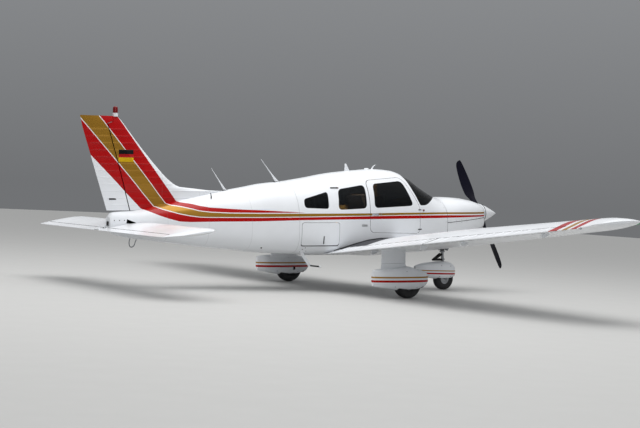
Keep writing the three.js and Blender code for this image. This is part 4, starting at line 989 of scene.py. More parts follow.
class AIRCRAFT_OT_cowling(bpy.types.Operator):
    """Upper and lower engine cowls with their air inlets and outlet"""

    bl_idname = "aircraft.cowling"
    bl_label = "Cowling"

    def execute(self, context):
        whole = painted(body_solid(COWL_FRONT_X, FIREWALL_X + SEAM / 2, step=0.03),
                        finish("livery"))
        # The cowls' insides and the faces of the inlets, outlet and hub hole are painted
        # near-black as painted shade.
        carve(whole, painted(body_solid(COWL_FRONT_X - 0.014, FIREWALL_X - 0.01, 0.010),
                             finish("dark")))
        for y in (-0.235, 0.235):
            outline = rounded([(y - 0.09, 1.076), (y - 0.09, 1.180), (y + 0.09, 1.180),
                               (y + 0.09, 1.076)], 0.045)
            inlet = extruded([(2.40, p[0], p[1]) for p in outline], (0.4, 0, 0))
            carve(whole, painted(inlet, finish("dark")))
        carve(whole, painted(box(1.590, 1.990, -0.140, 0.140, 0.5, 0.760, 0.02),
                             finish("dark")))
        carve(whole, painted(rod((2.5, 0, PROP_Z), (2.7, 0, PROP_Z), 0.066, sides=64),
                             finish("dark")))
        (x0, z0), (x1, z1) = COWL_SPLIT
        gap = SEAM / 2
        upper = twin_of(whole)
        for piece, lift, edge, name in ((upper, gap, 1.6, "cowl_upper_skin"),
                                        (whole, -gap, 0.4, "cowl_lower_skin")):
            half = painted(extruded([(x0, -0.7, z0 + lift), (x1, -0.7, z1 + lift),
                                     (x1, -0.7, edge), (x0, -0.7, edge)], (0, 1.4, 0)),
                           finish("seal"))
            carve(piece, half, "INTERSECT")
            placed(piece, name, "airframe", [name.replace("_skin", "")])
        for name in ("engine_block", "firewall"):
            painted(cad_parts[name], finish("engine"))
        painted(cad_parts["exhaust_pipe"], finish("steel"))
        return {"FINISHED"}


class AIRCRAFT_OT_doors(bpy.types.Operator):
    """Cabin door and baggage door"""

    bl_idname = "aircraft.doors"
    bl_label = "Doors"

    def panel(self, corners, radius):
        door = painted(side_block(corners, radius, *STARBOARD, margin=DOOR_GAP), finish("seal"))
        skin = painted(body_solid(FIREWALL_X, TAIL_JOINT_X), finish("livery"))
        carve(door, skin, "INTERSECT")
        inner = painted(body_solid(FIREWALL_X + 0.01, TAIL_JOINT_X - 0.01, 0.026),
                        finish("lining"))
        return carve(door, inner)

    def execute(self, context):
        corners = [(x + 5, z) if i == 1 else (x, z) for i, (x, z) in enumerate(CABIN_DOOR)]
        door = self.panel(corners, 88)
        with_openings(door, "seal", [(WINDOWS["front"], 75, STARBOARD, 0)])
        placed(door, "cabin_door_skin", "cabin_door", ["cabin_door"])
        corners = [(x, z + 9) if i % 3 == 0 else (x, z) for i, (x, z) in enumerate(BAGGAGE_DOOR)]
        placed(self.panel(corners, 43), "baggage_door_skin", "baggage_door",
               ["baggage_door"])
        return {"FINISHED"}


class AIRCRAFT_OT_glazing(bpy.types.Operator):
    """Windscreen and side windows"""

    bl_idname = "aircraft.glazing"
    bl_label = "Glazing"

    def execute(self, context):
        layer = body_solid(FIREWALL_X - 0.005, TAIL_JOINT_X + 0.005, 0.003)
        carve(layer, body_solid(FIREWALL_X, TAIL_JOINT_X, 0.008))
        panes = [("windscreen", SCREEN, 30, BOTH, "airframe"),
                 ("glass_left_front", WINDOWS["front"], 75, PORT, "airframe"),
                 ("door_glass", WINDOWS["front"], 75, STARBOARD, "cabin_door")]
        for side, reach in (("left", PORT), ("right", STARBOARD)):
            panes += [(f"glass_{side}_middle", WINDOWS["middle"], 75, reach, "airframe"),
                      (f"glass_{side}_rear", WINDOWS["rear"], 50, reach, "airframe")]
        for node_name, corners, radius, side, body in panes:
            pane = side_block(corners, radius, *side, margin=0.3)
            carve(pane, layer, "INTERSECT", keep=True)
            placed(pane, node_name + "_pane", body, [node_name], finish("glass"))
        bpy.data.objects.remove(layer)
        return {"FINISHED"}


class AIRCRAFT_OT_wings(bpy.types.Operator):
    """Main planes with their flaps and ailerons"""

    bl_idname = "aircraft.wings"
    bl_label = "Wings"

    def execute(self, context):
        def hinge(y):
            return hinge_at(WING_FOIL, WING_ROWS, y, WING_HINGE_SHARE)

        flap_ends = [hinge(FLAP_START_Y + SWING), hinge(WING_KINK_Y - SWING)]
        aileron_ends = [hinge(WING_KINK_Y + SWING), hinge(AILERON_END_Y)]
        plane = painted(bridge_rings(
            [foil_ring(WING_OUTLINE, [v * MM for v in row[:-1]] + [row[-1]])
             for row in WING_ROWS[:1] + [wing_row(y, 795, -790) for y in (600, 1600)]
             + WING_ROWS[1:]]), finish("wing"))
        carve(plane, body_solid(1.2, -1.0, -0.0004))
        # The faces cut in the hinge gaps are painted near-black as painted shade.
        for ends in (flap_ends, aileron_ends):
            carve(plane, painted(behind_hinge(ends, SWING), finish("dark")))
        pitch = settings().bead_pitch * 1.6
        surfaces = {}
        for name, ends, start, end in (
                ("flap", flap_ends, 0.606, 2.70), ("aileron", aileron_ends, 2.68, 4.82)):
            beads = np.arange(ends[0][1] + pitch / 2, ends[1][1] - pitch / 3, pitch)
            arms = FLAP_HINGES if name == "flap" else AILERON_HINGES
            beads = [b for b in beads if all(abs(b - arm) > 0.03 for arm in arms)]
            solid = painted(surface_solid(WING_OUTLINE, WING_ROWS, start, end, beads),
                            finish("wing"))
            surfaces[name] = carve(solid, behind_hinge(ends), "INTERSECT")
            for arm in arms:
                x, _, z, half = hinge(arm)
                # The faces of the hinge slots and pin holes are painted near-black as painted
                # shade.
                roof = 0.017 if name == "flap" else 0.080
                slot = box(x - 0.018, x + half + 0.05, arm - 0.011, arm + 0.011,
                           z - 0.080, z + roof)
                carve(surfaces[name], painted(slot, finish("dark")))
                pin = rod(hinge(arm - 0.027)[:3], hinge(arm + 0.027)[:3], 0.0056, sides=16)
                carve(surfaces[name], painted(pin, finish("dark")))
        # The facing ends of flap and aileron are painted near-black as painted shade, so the gap
        # between them reads dark.
        for name, y in (("flap", WING_KINK_Y - SWING), ("aileron", WING_KINK_Y + SWING)):
            end = box(-1.0, 0.0, y - 0.004, y + 0.004, 0.5, 1.3)
            carve(surfaces[name], painted(end, finish("dark")))
        for side, matrix in (("left", Matrix.Identity(4)), ("right", FLIP_Y)):
            placed(twin_of(plane, matrix), f"wing_{side}_skin", "airframe",
                   [f"wing_{side}"])
            for name, solid in surfaces.items():
                placed(twin_of(solid, matrix), f"{name}_{side}_skin", f"{name}_{side}",
                       [f"{name}_{side}"])
        for spare in (plane, *surfaces.values()):
            bpy.data.objects.remove(spare)
        return {"FINISHED"}


class AIRCRAFT_OT_tail(bpy.types.Operator):
    """Fin, rudder, stabilator and tab"""

    bl_idname = "aircraft.tail"
    bl_label = "Tail"

    def execute(self, context):
        upright = Matrix.Rotation(math.pi / 2, 4, "X")
        laid = [(z, lead, trail, 0, 0, thick) for z, lead, trail, thick in FIN_ROWS]
        smooth = smooth_rows(laid[1:])
        rows = [laid[0], laid[1]]
        for z in list(range(1510, 1760, 15)) + [1900, 2050, 2200, 2360, 2450]:
            rows.append((z, *smooth(z)))
        rows += laid[-3:]
        beads = np.arange(1.315, 2.43, settings().bead_pitch)
        fin = painted(surface_solid(TAIL_OUTLINE, rows, 1.080, FIN_TOP_Z, beads),
                      finish("livery"))
        (z0, x0), (z1, x1) = RUDDER_LINE

        def hinge(z):
            x = x0 + (x1 - x0) * (z - z0) / (z1 - z0)
            _, lead, trail, *_ = station_at(rows, z)
            return hinge_at(TAIL_FOIL, rows, z, (lead - x) / (lead - trail))

        line = [hinge(z) for z in (z0, 1.53, 1.57, 1.64, 1.76, 2.117, 2.36, z1)]

        def horn(margin):
            low = 2.420 - margin
            front = HORN_FRONT_X + margin
            return extruded([(-4.146 + margin, low, -0.12), (front, low + 0.03, -0.12),
                             (front, 2.61, -0.12), (-4.65, 2.61, -0.12), (-4.65, low, -0.12)],
                            (0, 0, 0.24))

        rudder = twin_of(fin)
        carve(rudder, carve(behind_hinge(line), horn(0.0), "UNION"), "INTERSECT")
        carve(rudder, box(-5, -3.4, z0, 2.7, -0.3, 0.3), "INTERSECT")
        # The faces in the rudder gap are painted near-black as painted shade; the horn's gap keeps
        # the livery.
        carve(fin, painted(behind_hinge(line, RUDDER_GAP), finish("dark")))
        carve(fin, painted(horn(SWING), finish("livery")))
        for piece in (fin, rudder):
            piece.data.transform(upright)
        carve(fin, body_solid(-2.0, TAIL_END_X, -0.0004))
        carve(fin, box(-5, -3.7, -0.2, 0.2, 0.9, z0))
        placed(fin, "fin_skin", "airframe", ["fin"])
        placed(rudder, "rudder_skin", "rudder", ["rudder"])

        half = painted(surface_solid(TAIL_OUTLINE, STABILATOR_ROWS, 0.060, 1.960),
                       finish("white"))
        plan = [(row[0] * MM, row[4] * MM + 0.008) for row in BODY_ROWS if row[0] <= -3300]
        plan.append((TAIL_END_X - 0.012, plan[-1][1]))
        outline = plan + [(x, -y) for x, y in reversed(plan)]
        carve(half, extruded([(x, y, 0.86) for x, y in outline], (0, 0, 0.3)))
        ends = [hinge_at(TAIL_FOIL, STABILATOR_ROWS, y, 0.82) for y in (0.064, 1.780)]
        tab = carve(twin_of(half), behind_hinge(ends), "INTERSECT")
        # The faces in the tab's gap are painted near-black as painted shade.
        carve(half, painted(behind_hinge(ends, SWING), finish("dark")))
        x, z = STABILATOR_HINGE
        tube_piece = painted(rod((x, -0.185, z), (x, 0.185, z), 0.026, sides=48),
                             finish("steel"))
        plane = joined([half, twin_of(half, FLIP_Y), tube_piece])
        placed(plane, "stabilator_skin", "stabilator", ["stabilator"])
        low = ends[0][2]
        bridge = painted(box(-4.276, -4.190, -0.068, 0.068, low - 0.009, low + 0.003, 0.002),
                         finish("white"))
        placed(joined([tab, twin_of(tab, FLIP_Y), bridge]), "stabilator_tab_skin", "tab",
               ["stabilator_tab"])
        return {"FINISHED"}


# Landing gear


def in_craft(x, z):
    """A point of the level ground frame, seen in the craft's own."""
    c, s = math.cos(PARKED_PITCH), math.sin(PARKED_PITCH)
    return x * c + z * s, z * c - x * s


MAIN_AXLE = in_craft(MAIN_WHEEL["x"], MAIN_WHEEL["radius"])
NOSE_AXLE = in_craft(NOSE_WHEEL["x"], NOSE_WHEEL["radius"])
STEER_LEAN = math.atan2(NOSE_AXLE[0] - 1.832, 0.720 - NOSE_AXLE[1])
STEER = Matrix.Translation((NOSE_AXLE[0], 0, NOSE_AXLE[1])) @ Matrix.Rotation(
    -STEER_LEAN, 4, "Y")


def pant_ring(row, inset=0.0):
    x, bottom, top, half = (value * MM for value in row)
    turns = np.linspace(0, 2 * math.pi, 241)
    c, s = np.cos(turns), np.sin(turns)
    across = (half - inset) * np.sign(c) * np.abs(c) ** (2 / 3)
    rise = (bottom + top) / 2 + ((top - bottom) / 2 - inset) * np.sign(s) * np.abs(s) ** (2 / 3)
    return np.insert(even_points(np.stack([across, rise], 1), 64), 0, x, axis=1)


def pant_solid(rows, inset=0.0):
    at = smooth_rows(rows)
    kept = rows[1:-1] if inset else rows
    first, last = kept[0][0], kept[-1][0]
    places = [first + (last - first) * (1 - math.cos(math.pi * i / 34)) / 2 for i in range(35)]
    rings = [pant_ring((x, *at(x)), inset) for x in places]
    if not inset:
        middle = rings[-1].mean(axis=0)
        nose = (rings[-1] - middle) * 0.62 + middle
        rings.append(nose + np.array([0.007, 0, 0]))
    return bridge_rings(rings)


def pant_shell(rows, wheel, axle, name):
    """A hollow fairing, open below round its wheel."""
    shell = painted(pant_solid(rows), finish(name))
    # The fairing's inside and the faces of its wheel slot are painted near-black as painted shade.
    carve(shell, painted(pant_solid(rows, 0.008), finish("dark")))
    reach, half = wheel["radius"] + 0.016, wheel["width"] / 2 + 0.028
    slot = box(axle[0] - reach, axle[0] + reach, -half, half, -0.06, axle[1] + 0.06, 0.02, 4)
    return carve(shell, painted(slot, finish("dark")))


def streamline_ring(front, back, half, y, z):
    """A leg section: round in front, drawn out to a thin tail."""
    length = front - back
    width = smooth_rows([
        (0, 0), (0.014 ** 0.5, 0.5), (0.055 ** 0.5, 0.9), (0.12 ** 0.5, 1.0),
        ((length / 2 + 0.02) ** 0.5, 0.8), ((length - 0.04) ** 0.5, 0.28),
        (length ** 0.5, 0.07)])
    roots = [length ** 0.5 * i / 24 for i in range(25)]
    port = [(front - r * r, y + half * float(width(r)[0]), z) for r in roots]
    return port + [(x, 2 * y - off, z) for x, off, _ in port[:0:-1]]


def wheel_solid(profile, wheel, steps=96):
    return revolved(profile, steps, (wheel["x"], wheel["y"], wheel["radius"]))


def tyre_piece(wheel):
    """A tyre with three grooves round its tread."""
    radius, w, rim = wheel["radius"], wheel["width"] / 2, wheel["rim"]
    half = [(rim, 0.62 * w), (rim + 0.006, 0.80 * w), (rim + 0.014, 0.86 * w),
            (rim + 0.020, 0.84 * w), (rim + 0.028, 0.93 * w), (radius * 0.70, 0.985 * w),
            (radius * 0.78, 1.0 * w), (radius * 0.86, 0.955 * w), (radius * 0.92, 0.86 * w),
            (radius * 0.965, 0.72 * w), (radius * 0.988, 0.56 * w)]
    for groove in (0.40, 0.0):
        lip = groove * w + 0.004
        half += [(radius - (0.0005 if groove else 0), lip), (radius - 0.006, lip - 0.001)]
        if groove:
            half += [(radius - 0.006, groove * w - 0.003), (radius, groove * w - 0.004)]
    mirror = [(r, -y) for r, y in reversed(half)]
    return painted(wheel_solid(half + mirror, wheel), finish("rubber"))


def hub_piece(wheel):
    """A split rim with a dished face, its through bolts and the valve."""
    rim, w, axle = wheel["rim"], wheel["width"] / 2, wheel["axle"]
    half = [(axle + 0.0005, 0.52 * w), (axle + 0.020, 0.52 * w), (axle + 0.026, 0.46 * w),
            (rim * 0.62, 0.30 * w), (rim * 0.82, 0.34 * w), (rim * 0.90, 0.60 * w),
            (rim + 0.003, 0.66 * w), (rim + 0.003, 0.61 * w), (rim - 0.0005, 0.60 * w),
            (rim - 0.0005, 0.2 * w)]
    ring = wheel_solid(half + [(r, -y) for r, y in reversed(half)], wheel)
    parts = [ring]
    centre = Vector((wheel["x"], wheel["y"], wheel["radius"]))
    for i in range(6):
        turn = Matrix.Rotation(math.pi * i / 3, 4, "Y")
        at = turn @ Vector((rim * 0.72, 0, 0)) + centre
        reach = Vector((0, 0.36 * w + 0.006, 0))
        parts.append(rod(at - reach, at + reach, 0.0065, sides=6))
    at = centre + Vector((rim * 0.86, 0, 0))
    parts.append(rod(at + Vector((0, 0.3 * w, 0)), at + Vector((-0.004, 0.8 * w, 0)), 0.004,
                     0.003, 12))
    return painted(joined(parts), finish("alloy"))


class AIRCRAFT_OT_main_gear(bpy.types.Operator):
    """Leg fairings, wheel fairings, tyres and hubs of both main wheels"""

    bl_idname = "aircraft.main_gear"
    bl_label = "Main Gear"

    def saddle(self):
        """The flared foot of the leg, down to the wheel fairing."""
        rings = []
        for i in range(13):
            share = i / 12
            flare = (1 - share) ** 2.2
            z = 0.400 + (SADDLE_TOP - 0.400) * share
            rings.append(streamline_ring(-0.074 + 0.060 * flare, -0.500 - 0.048 * flare,
                                         0.072 + 0.032 * flare, LEG_Y + 0.030 * flare, z))
        foot = painted(bridge_rings(rings), finish("white"))
        inside = pant_solid(MAIN_PANT)
        inside.data.transform(Matrix.Translation((0, PANT_Y, 0)))
        carve(foot, inside)
        return foot

    def execute(self, context):
        x, z = MAIN_AXLE
        leg = painted(bridge_rings([
            streamline_ring(-0.074, -0.500, 0.072, LEG_Y, height)
            for height in (SADDLE_TOP + 0.003, 0.60, 0.68, 0.76)]), finish("white"))
        wing = bridge_rings([foil_ring(WING_OUTLINE, [v * MM for v in row[:-1]] + [row[-1]])
                             for row in WING_ROWS[:2]])
        carve(leg, wing)
        panel = painted(box(-0.340, -0.205, LEG_Y - 0.2, LEG_Y, 0.575, 0.655, 0.01, 3),
                        finish("white"))
        carve(panel, twin_of(leg), "INTERSECT")
        panel.data.transform(Matrix.Translation((0, -0.0015, 0)))
        strut = painted(rod((x - 0.006, STRUT_Y, z - 0.03), (x - 0.060, STRUT_Y, 0.640), 0.022),
                        finish("white"))
        axle = painted(rod((x, STRUT_Y - 0.012, z), (x, MAIN_WHEEL["y"] + 0.042, z),
                           MAIN_WHEEL["axle"], bevel=0.003), finish("steel"))
        brake = painted(rod((x, STRUT_Y + 0.020, z), (x, STRUT_Y + 0.027, z), 0.078, sides=64,
                            bevel=0.001), finish("chrome"))
        caliper = painted(box(x - 0.035, x + 0.035, STRUT_Y + 0.006, STRUT_Y + 0.040,
                              z + 0.045, z + 0.095, 0.006), finish("steel"))
        leg = joined([leg, panel, strut, axle, brake, caliper])

        pant = pant_shell(MAIN_PANT, MAIN_WHEEL, MAIN_AXLE, "main_fairing")
        pant.data.transform(Matrix.Translation((0, PANT_Y, 0)))
        # The faces of the strut and axle holes and of the wheel room are painted near-black as
        # painted shade.
        for radius, ends in ((0.0229, ((x - 0.006, STRUT_Y, z - 0.03),
                                       (x - 0.060, STRUT_Y, 0.640))),
                             (0.030, ((x, 1.3, z), (x, STRUT_Y + 0.02, z)))):
            carve(pant, painted(rod(*ends, radius), finish("dark")))
        room = MAIN_WHEEL["width"] / 2 + 0.008
        carve(pant, painted(rod((x, MAIN_WHEEL["y"] - room, z), (x, MAIN_WHEEL["y"] + room, z),
                                MAIN_WHEEL["radius"] + 0.005, sides=96, bevel=0.05),
                            finish("dark")))
        bpy.context.view_layer.update()
        spots = []
        for side in (-1, 1):
            for px, pz in ((-0.395, 0.185), (-0.010, 0.165), (-0.2, 0.40)):
                spot, normal = pant.ray_cast((px, PANT_Y + side, pz), (0, -side, 0))[1:3]
                spots.append((*spot, normal))
        pant = joined([pant, self.saddle(), screw_heads(spots, 0.008)])
        tyre, hub = tyre_piece(MAIN_WHEEL), hub_piece(MAIN_WHEEL)
        for side, matrix in (("left", Matrix.Identity(4)), ("right", FLIP_Y)):
            placed(twin_of(leg, matrix), f"leg_fairing_{side}", "airframe",
                   [f"gear_leg_{side}"])
            placed(twin_of(pant, matrix), f"wheel_pant_{side}", "airframe",
                   [f"wheel_fairing_{side}"], sharp=40)
            placed(twin_of(tyre, matrix), f"tyre_{side}_tread", f"wheel_{side}",
                   [f"tyre_{side}"], matrix=GROUND, sharp=40)
            placed(twin_of(hub, matrix), f"wheel_rim_{side}", f"wheel_{side}",
                   [f"wheel_hub_{side}"], matrix=GROUND)
        for spare in (leg, pant, tyre, hub):
            bpy.data.objects.remove(spare)
        return {"FINISHED"}


class AIRCRAFT_OT_nose_gear(bpy.types.Operator):
    """Oleo strut, steered fork with its scissor links, fairing and nose wheel"""

    bl_idname = "aircraft.nose_gear"
    bl_label = "Nose Gear"

    def link(self, low, high):
        """One scissor link: two tapering arms with a web between."""
        (x0, z0), (x1, z1) = low, high
        along = (Vector((x1, 0, z1)) - Vector((x0, 0, z0))).normalized()
        off = Vector((-along.z, 0, along.x)) * 0.013
        arms = []
        for side in (-1, 1):
            a = Vector((x0, side * 0.020, z0))
            b = Vector((x1, side * 0.030, z1))
            arms.append(bridge_rings([
                [a - off, a + off, a + off + Vector((0, -side * 0.009, 0)),
                 a - off + Vector((0, -side * 0.009, 0))],
                [b - off * 1.4, b + off * 1.4, b + off * 1.4 + Vector((0, -side * 0.012, 0)),
                 b - off * 1.4 + Vector((0, -side * 0.012, 0))]]))
        for share, half in ((0.0, 0.022), (0.55, 0.022), (1.0, 0.032)):
            at = Vector((x0, 0, z0)).lerp(Vector((x1, 0, z1)), share)
            reach = Vector((0, half, 0))
            arms.append(rod(at - reach, at + reach, 0.009, sides=20))
        return joined(arms)

    def execute(self, context):
        side = NOSE_WHEEL["width"] / 2 + 0.009
        plates = []
        for sign in (-1, 1):
            low, high = sorted((sign * side, sign * (side + 0.012)))
            plates.append(box(-0.026, 0.026, low, high, -0.026, 0.222, 0.008, 3))
            plates.append(rod((0, sign * (side + 0.010), 0), (0, sign * (side + 0.024), 0),
                              0.018, sides=6))
        fork = painted(joined([
            *plates, box(-0.034, 0.034, -side - 0.012, side + 0.012, 0.196, 0.222, 0.006),
            rod((0, -side - 0.014, 0), (0, side + 0.014, 0), NOSE_WHEEL["axle"]),
            rod((0, 0, 0.298), (0, 0, 0.322), 0.036, bevel=0.003),
            rod((0, 0, 0.426), (0, 0, 0.450), 0.042, bevel=0.004)]), finish("steel"))
        piston = painted(rod((0, 0, 0.215), (0, 0, 0.4515), 0.023, sides=48), finish("steel"))
        links = painted(joined([self.link((-0.198, 0.318), (-0.030, 0.399)),
                                self.link((-0.198, 0.318), (-0.030, 0.310))]),
                        finish("dark"))
        placed(joined([fork, piston, links]), "nose_fork_legs", "nose_leg",
               ["nose_fork"], matrix=CRAFT @ STEER)

        oleo = painted(joined([
            rod((0, 0, 0.4525), (0, 0, 0.760), 0.034, sides=48, bevel=0.003),
            rod((0, 0, 0.470), (0, 0, 0.520), 0.044, sides=48, bevel=0.005),
            rod((0, 0, 0.535), (0, 0, 0.543), 0.0375, sides=48, bevel=0.002)]),
            finish("engine"))
        oleo.data.transform(STEER)
        mount = painted(joined([
            box(FIREWALL_X + 0.009, 1.840, -0.060, 0.060, 0.745, 0.820, 0.008),
            *(rod((FIREWALL_X + 0.009, y, 0.760), (1.800, y * 0.5, 0.560), 0.012)
              for y in (-0.050, 0.050))]), finish("engine"))
        placed(joined([oleo, mount]), "nose_oleo", "airframe", ["nose_strut"])

        pant = pant_shell(NOSE_PANT, NOSE_WHEEL, NOSE_AXLE, "nose_fairing")
        # The faces of the strut hole are painted near-black as painted shade.
        hole = rod((0, 0, 0.18), (0, 0, 0.42), 0.034)
        hole.data.transform(STEER)
        carve(pant, painted(hole, finish("dark")))
        screws = screw_heads([(px, sign * 0.120, pz, (0, sign, 0))
                              for sign in (-1, 1) for px, pz in ((1.930, 0.300), (1.740, 0.315),
                                                                 (1.93, 0.14), (1.70, 0.14))],
                             0.007)
        placed(joined([pant, screws]), "nose_pant", "nose_leg",
               ["wheel_fairing_nose"], sharp=40)
        placed(tyre_piece(NOSE_WHEEL), "tyre_nose_tread", "nose_wheel", ["tyre_nose"],
               matrix=GROUND, sharp=40)
        placed(hub_piece(NOSE_WHEEL), "wheel_rim_nose", "nose_wheel",
               ["wheel_hub_nose"], matrix=GROUND)
        return {"FINISHED"}


# Small pieces


def facing(at, normal):
    """A frame at a point with Z along a normal."""
    return Matrix.Translation(at) @ Vector(normal).to_track_quat("Z", "X").to_matrix().to_4x4()


def screw_heads(places, radius=0.0045):
    """Raised screw heads with a slot; each place is x, y, z and the way it faces."""
    heads = []
    for x, y, z, normal in places:
        head = rod((0, 0, -0.004), (0, 0, 0.0012), radius, radius * 0.8, 14)
        head.data.transform(facing((x, y, z), normal))
        heads.append(head)
    return painted(joined(heads), finish("steel"))


class AIRCRAFT_OT_propeller(bpy.types.Operator):
    """Two twisted blades, their hub and the pointed spinner"""

    bl_idname = "aircraft.propeller"
    bl_label = "Propeller"

    def blade_ring(self, radius, chord, thick, angle, camber):
        ring = []
        setback = 0.2 * chord * min(1.0, max(0.0, (radius - 0.190) / 0.090))
        for i in range(32):
            turn = 2 * math.pi * i / 32
            along = chord / 2 * math.cos(turn) - setback
            off = thick / 2 * math.sin(turn) * (1.0 if math.sin(turn) > 0 else 1 - camber)
            c, s = math.cos(math.radians(angle)), math.sin(math.radians(angle))
            ring.append((along * s + off * c, off * s - along * c, radius))
        return ring

    def execute(self, context):
        at = smooth_rows(BLADE_ROWS)
        rings = [self.blade_ring(0.020, 0.076, 0.076, 50, 0)]
        for i in range(34):
            share = i / 33
            radius = 190 + (1015 - 190) * (1 - (1 - share) ** 1.5)
            chord, thick, angle = at(radius)
            camber = min(1.0, max(0.0, (radius - 230) / 150)) * 0.7
            rings.append(self.blade_ring(radius * MM, chord * MM, thick * MM, angle, camber))
        blade = bridge_rings(rings)
        blades = painted(joined([blade, twin_of(blade, Matrix.Rotation(math.pi, 4, "X"))]),
                         finish("blade"))
        blades.data.transform(BLADE_LEAN)
        back = SPINNER_BASE_X - 0.020 - PROP_X
        hub = painted(rod((back, 0, 0), (0.050, 0, 0), 0.058, sides=48), finish("steel"))
        placed(joined([blades, hub]), "propeller_blades", "propeller", ["propeller"],
               matrix=PROP_FRAME)

        length, base = SPINNER_TIP_X - SPINNER_BASE_X, SPINNER_BASE_X - PROP_X
        profile = [(0.0, base)] + [(SPINNER_RADIUS - 0.006, base), (SPINNER_RADIUS, base + 0.004)]
        for i in range(1, 40):
            share = i / 40
            profile.append((SPINNER_RADIUS * (1 - share ** 1.2) ** 0.95,
                            base + 0.004 + share * (length - 0.004)))
        profile.append((0.0, base + length))
        shell = painted(revolved(profile, 96, axis="X"), finish("white"))
        # The faces of the blade tunnel and the hub hole are painted near-black as painted shade.
        tunnel = rod((0, 0, -0.4), (0, 0, 0.4), 0.042, sides=48)
        tunnel.data.transform(BLADE_LEAN)
        carve(shell, painted(tunnel, finish("dark")))
        carve(shell, painted(rod((back - 0.01, 0, 0), (0.0504, 0, 0), 0.0588, sides=48),
                             finish("dark")))
        ring = painted(revolved([
            (SPINNER_RADIUS - 0.010, base + 0.044), (SPINNER_RADIUS + 0.0006, base + 0.030),
            (SPINNER_RADIUS + 0.0006, base + 0.028), (SPINNER_RADIUS - 0.010, base + 0.028)],
            96, axis="X"), finish("seal"))
        heads = []
        for i in range(16):
            turn = 2 * math.pi * (i + 0.5) / 16
            out = Vector((0, math.cos(turn), math.sin(turn)))
            spot = out * (SPINNER_RADIUS - 0.0005)
            heads.append((base + 0.016, spot.y, spot.z, out))
        placed(joined([shell, ring, screw_heads(heads, 0.0035)]), "spinner_cone", "propeller",
               ["spinner"], matrix=PROP_FRAME)
        return {"FINISHED"}


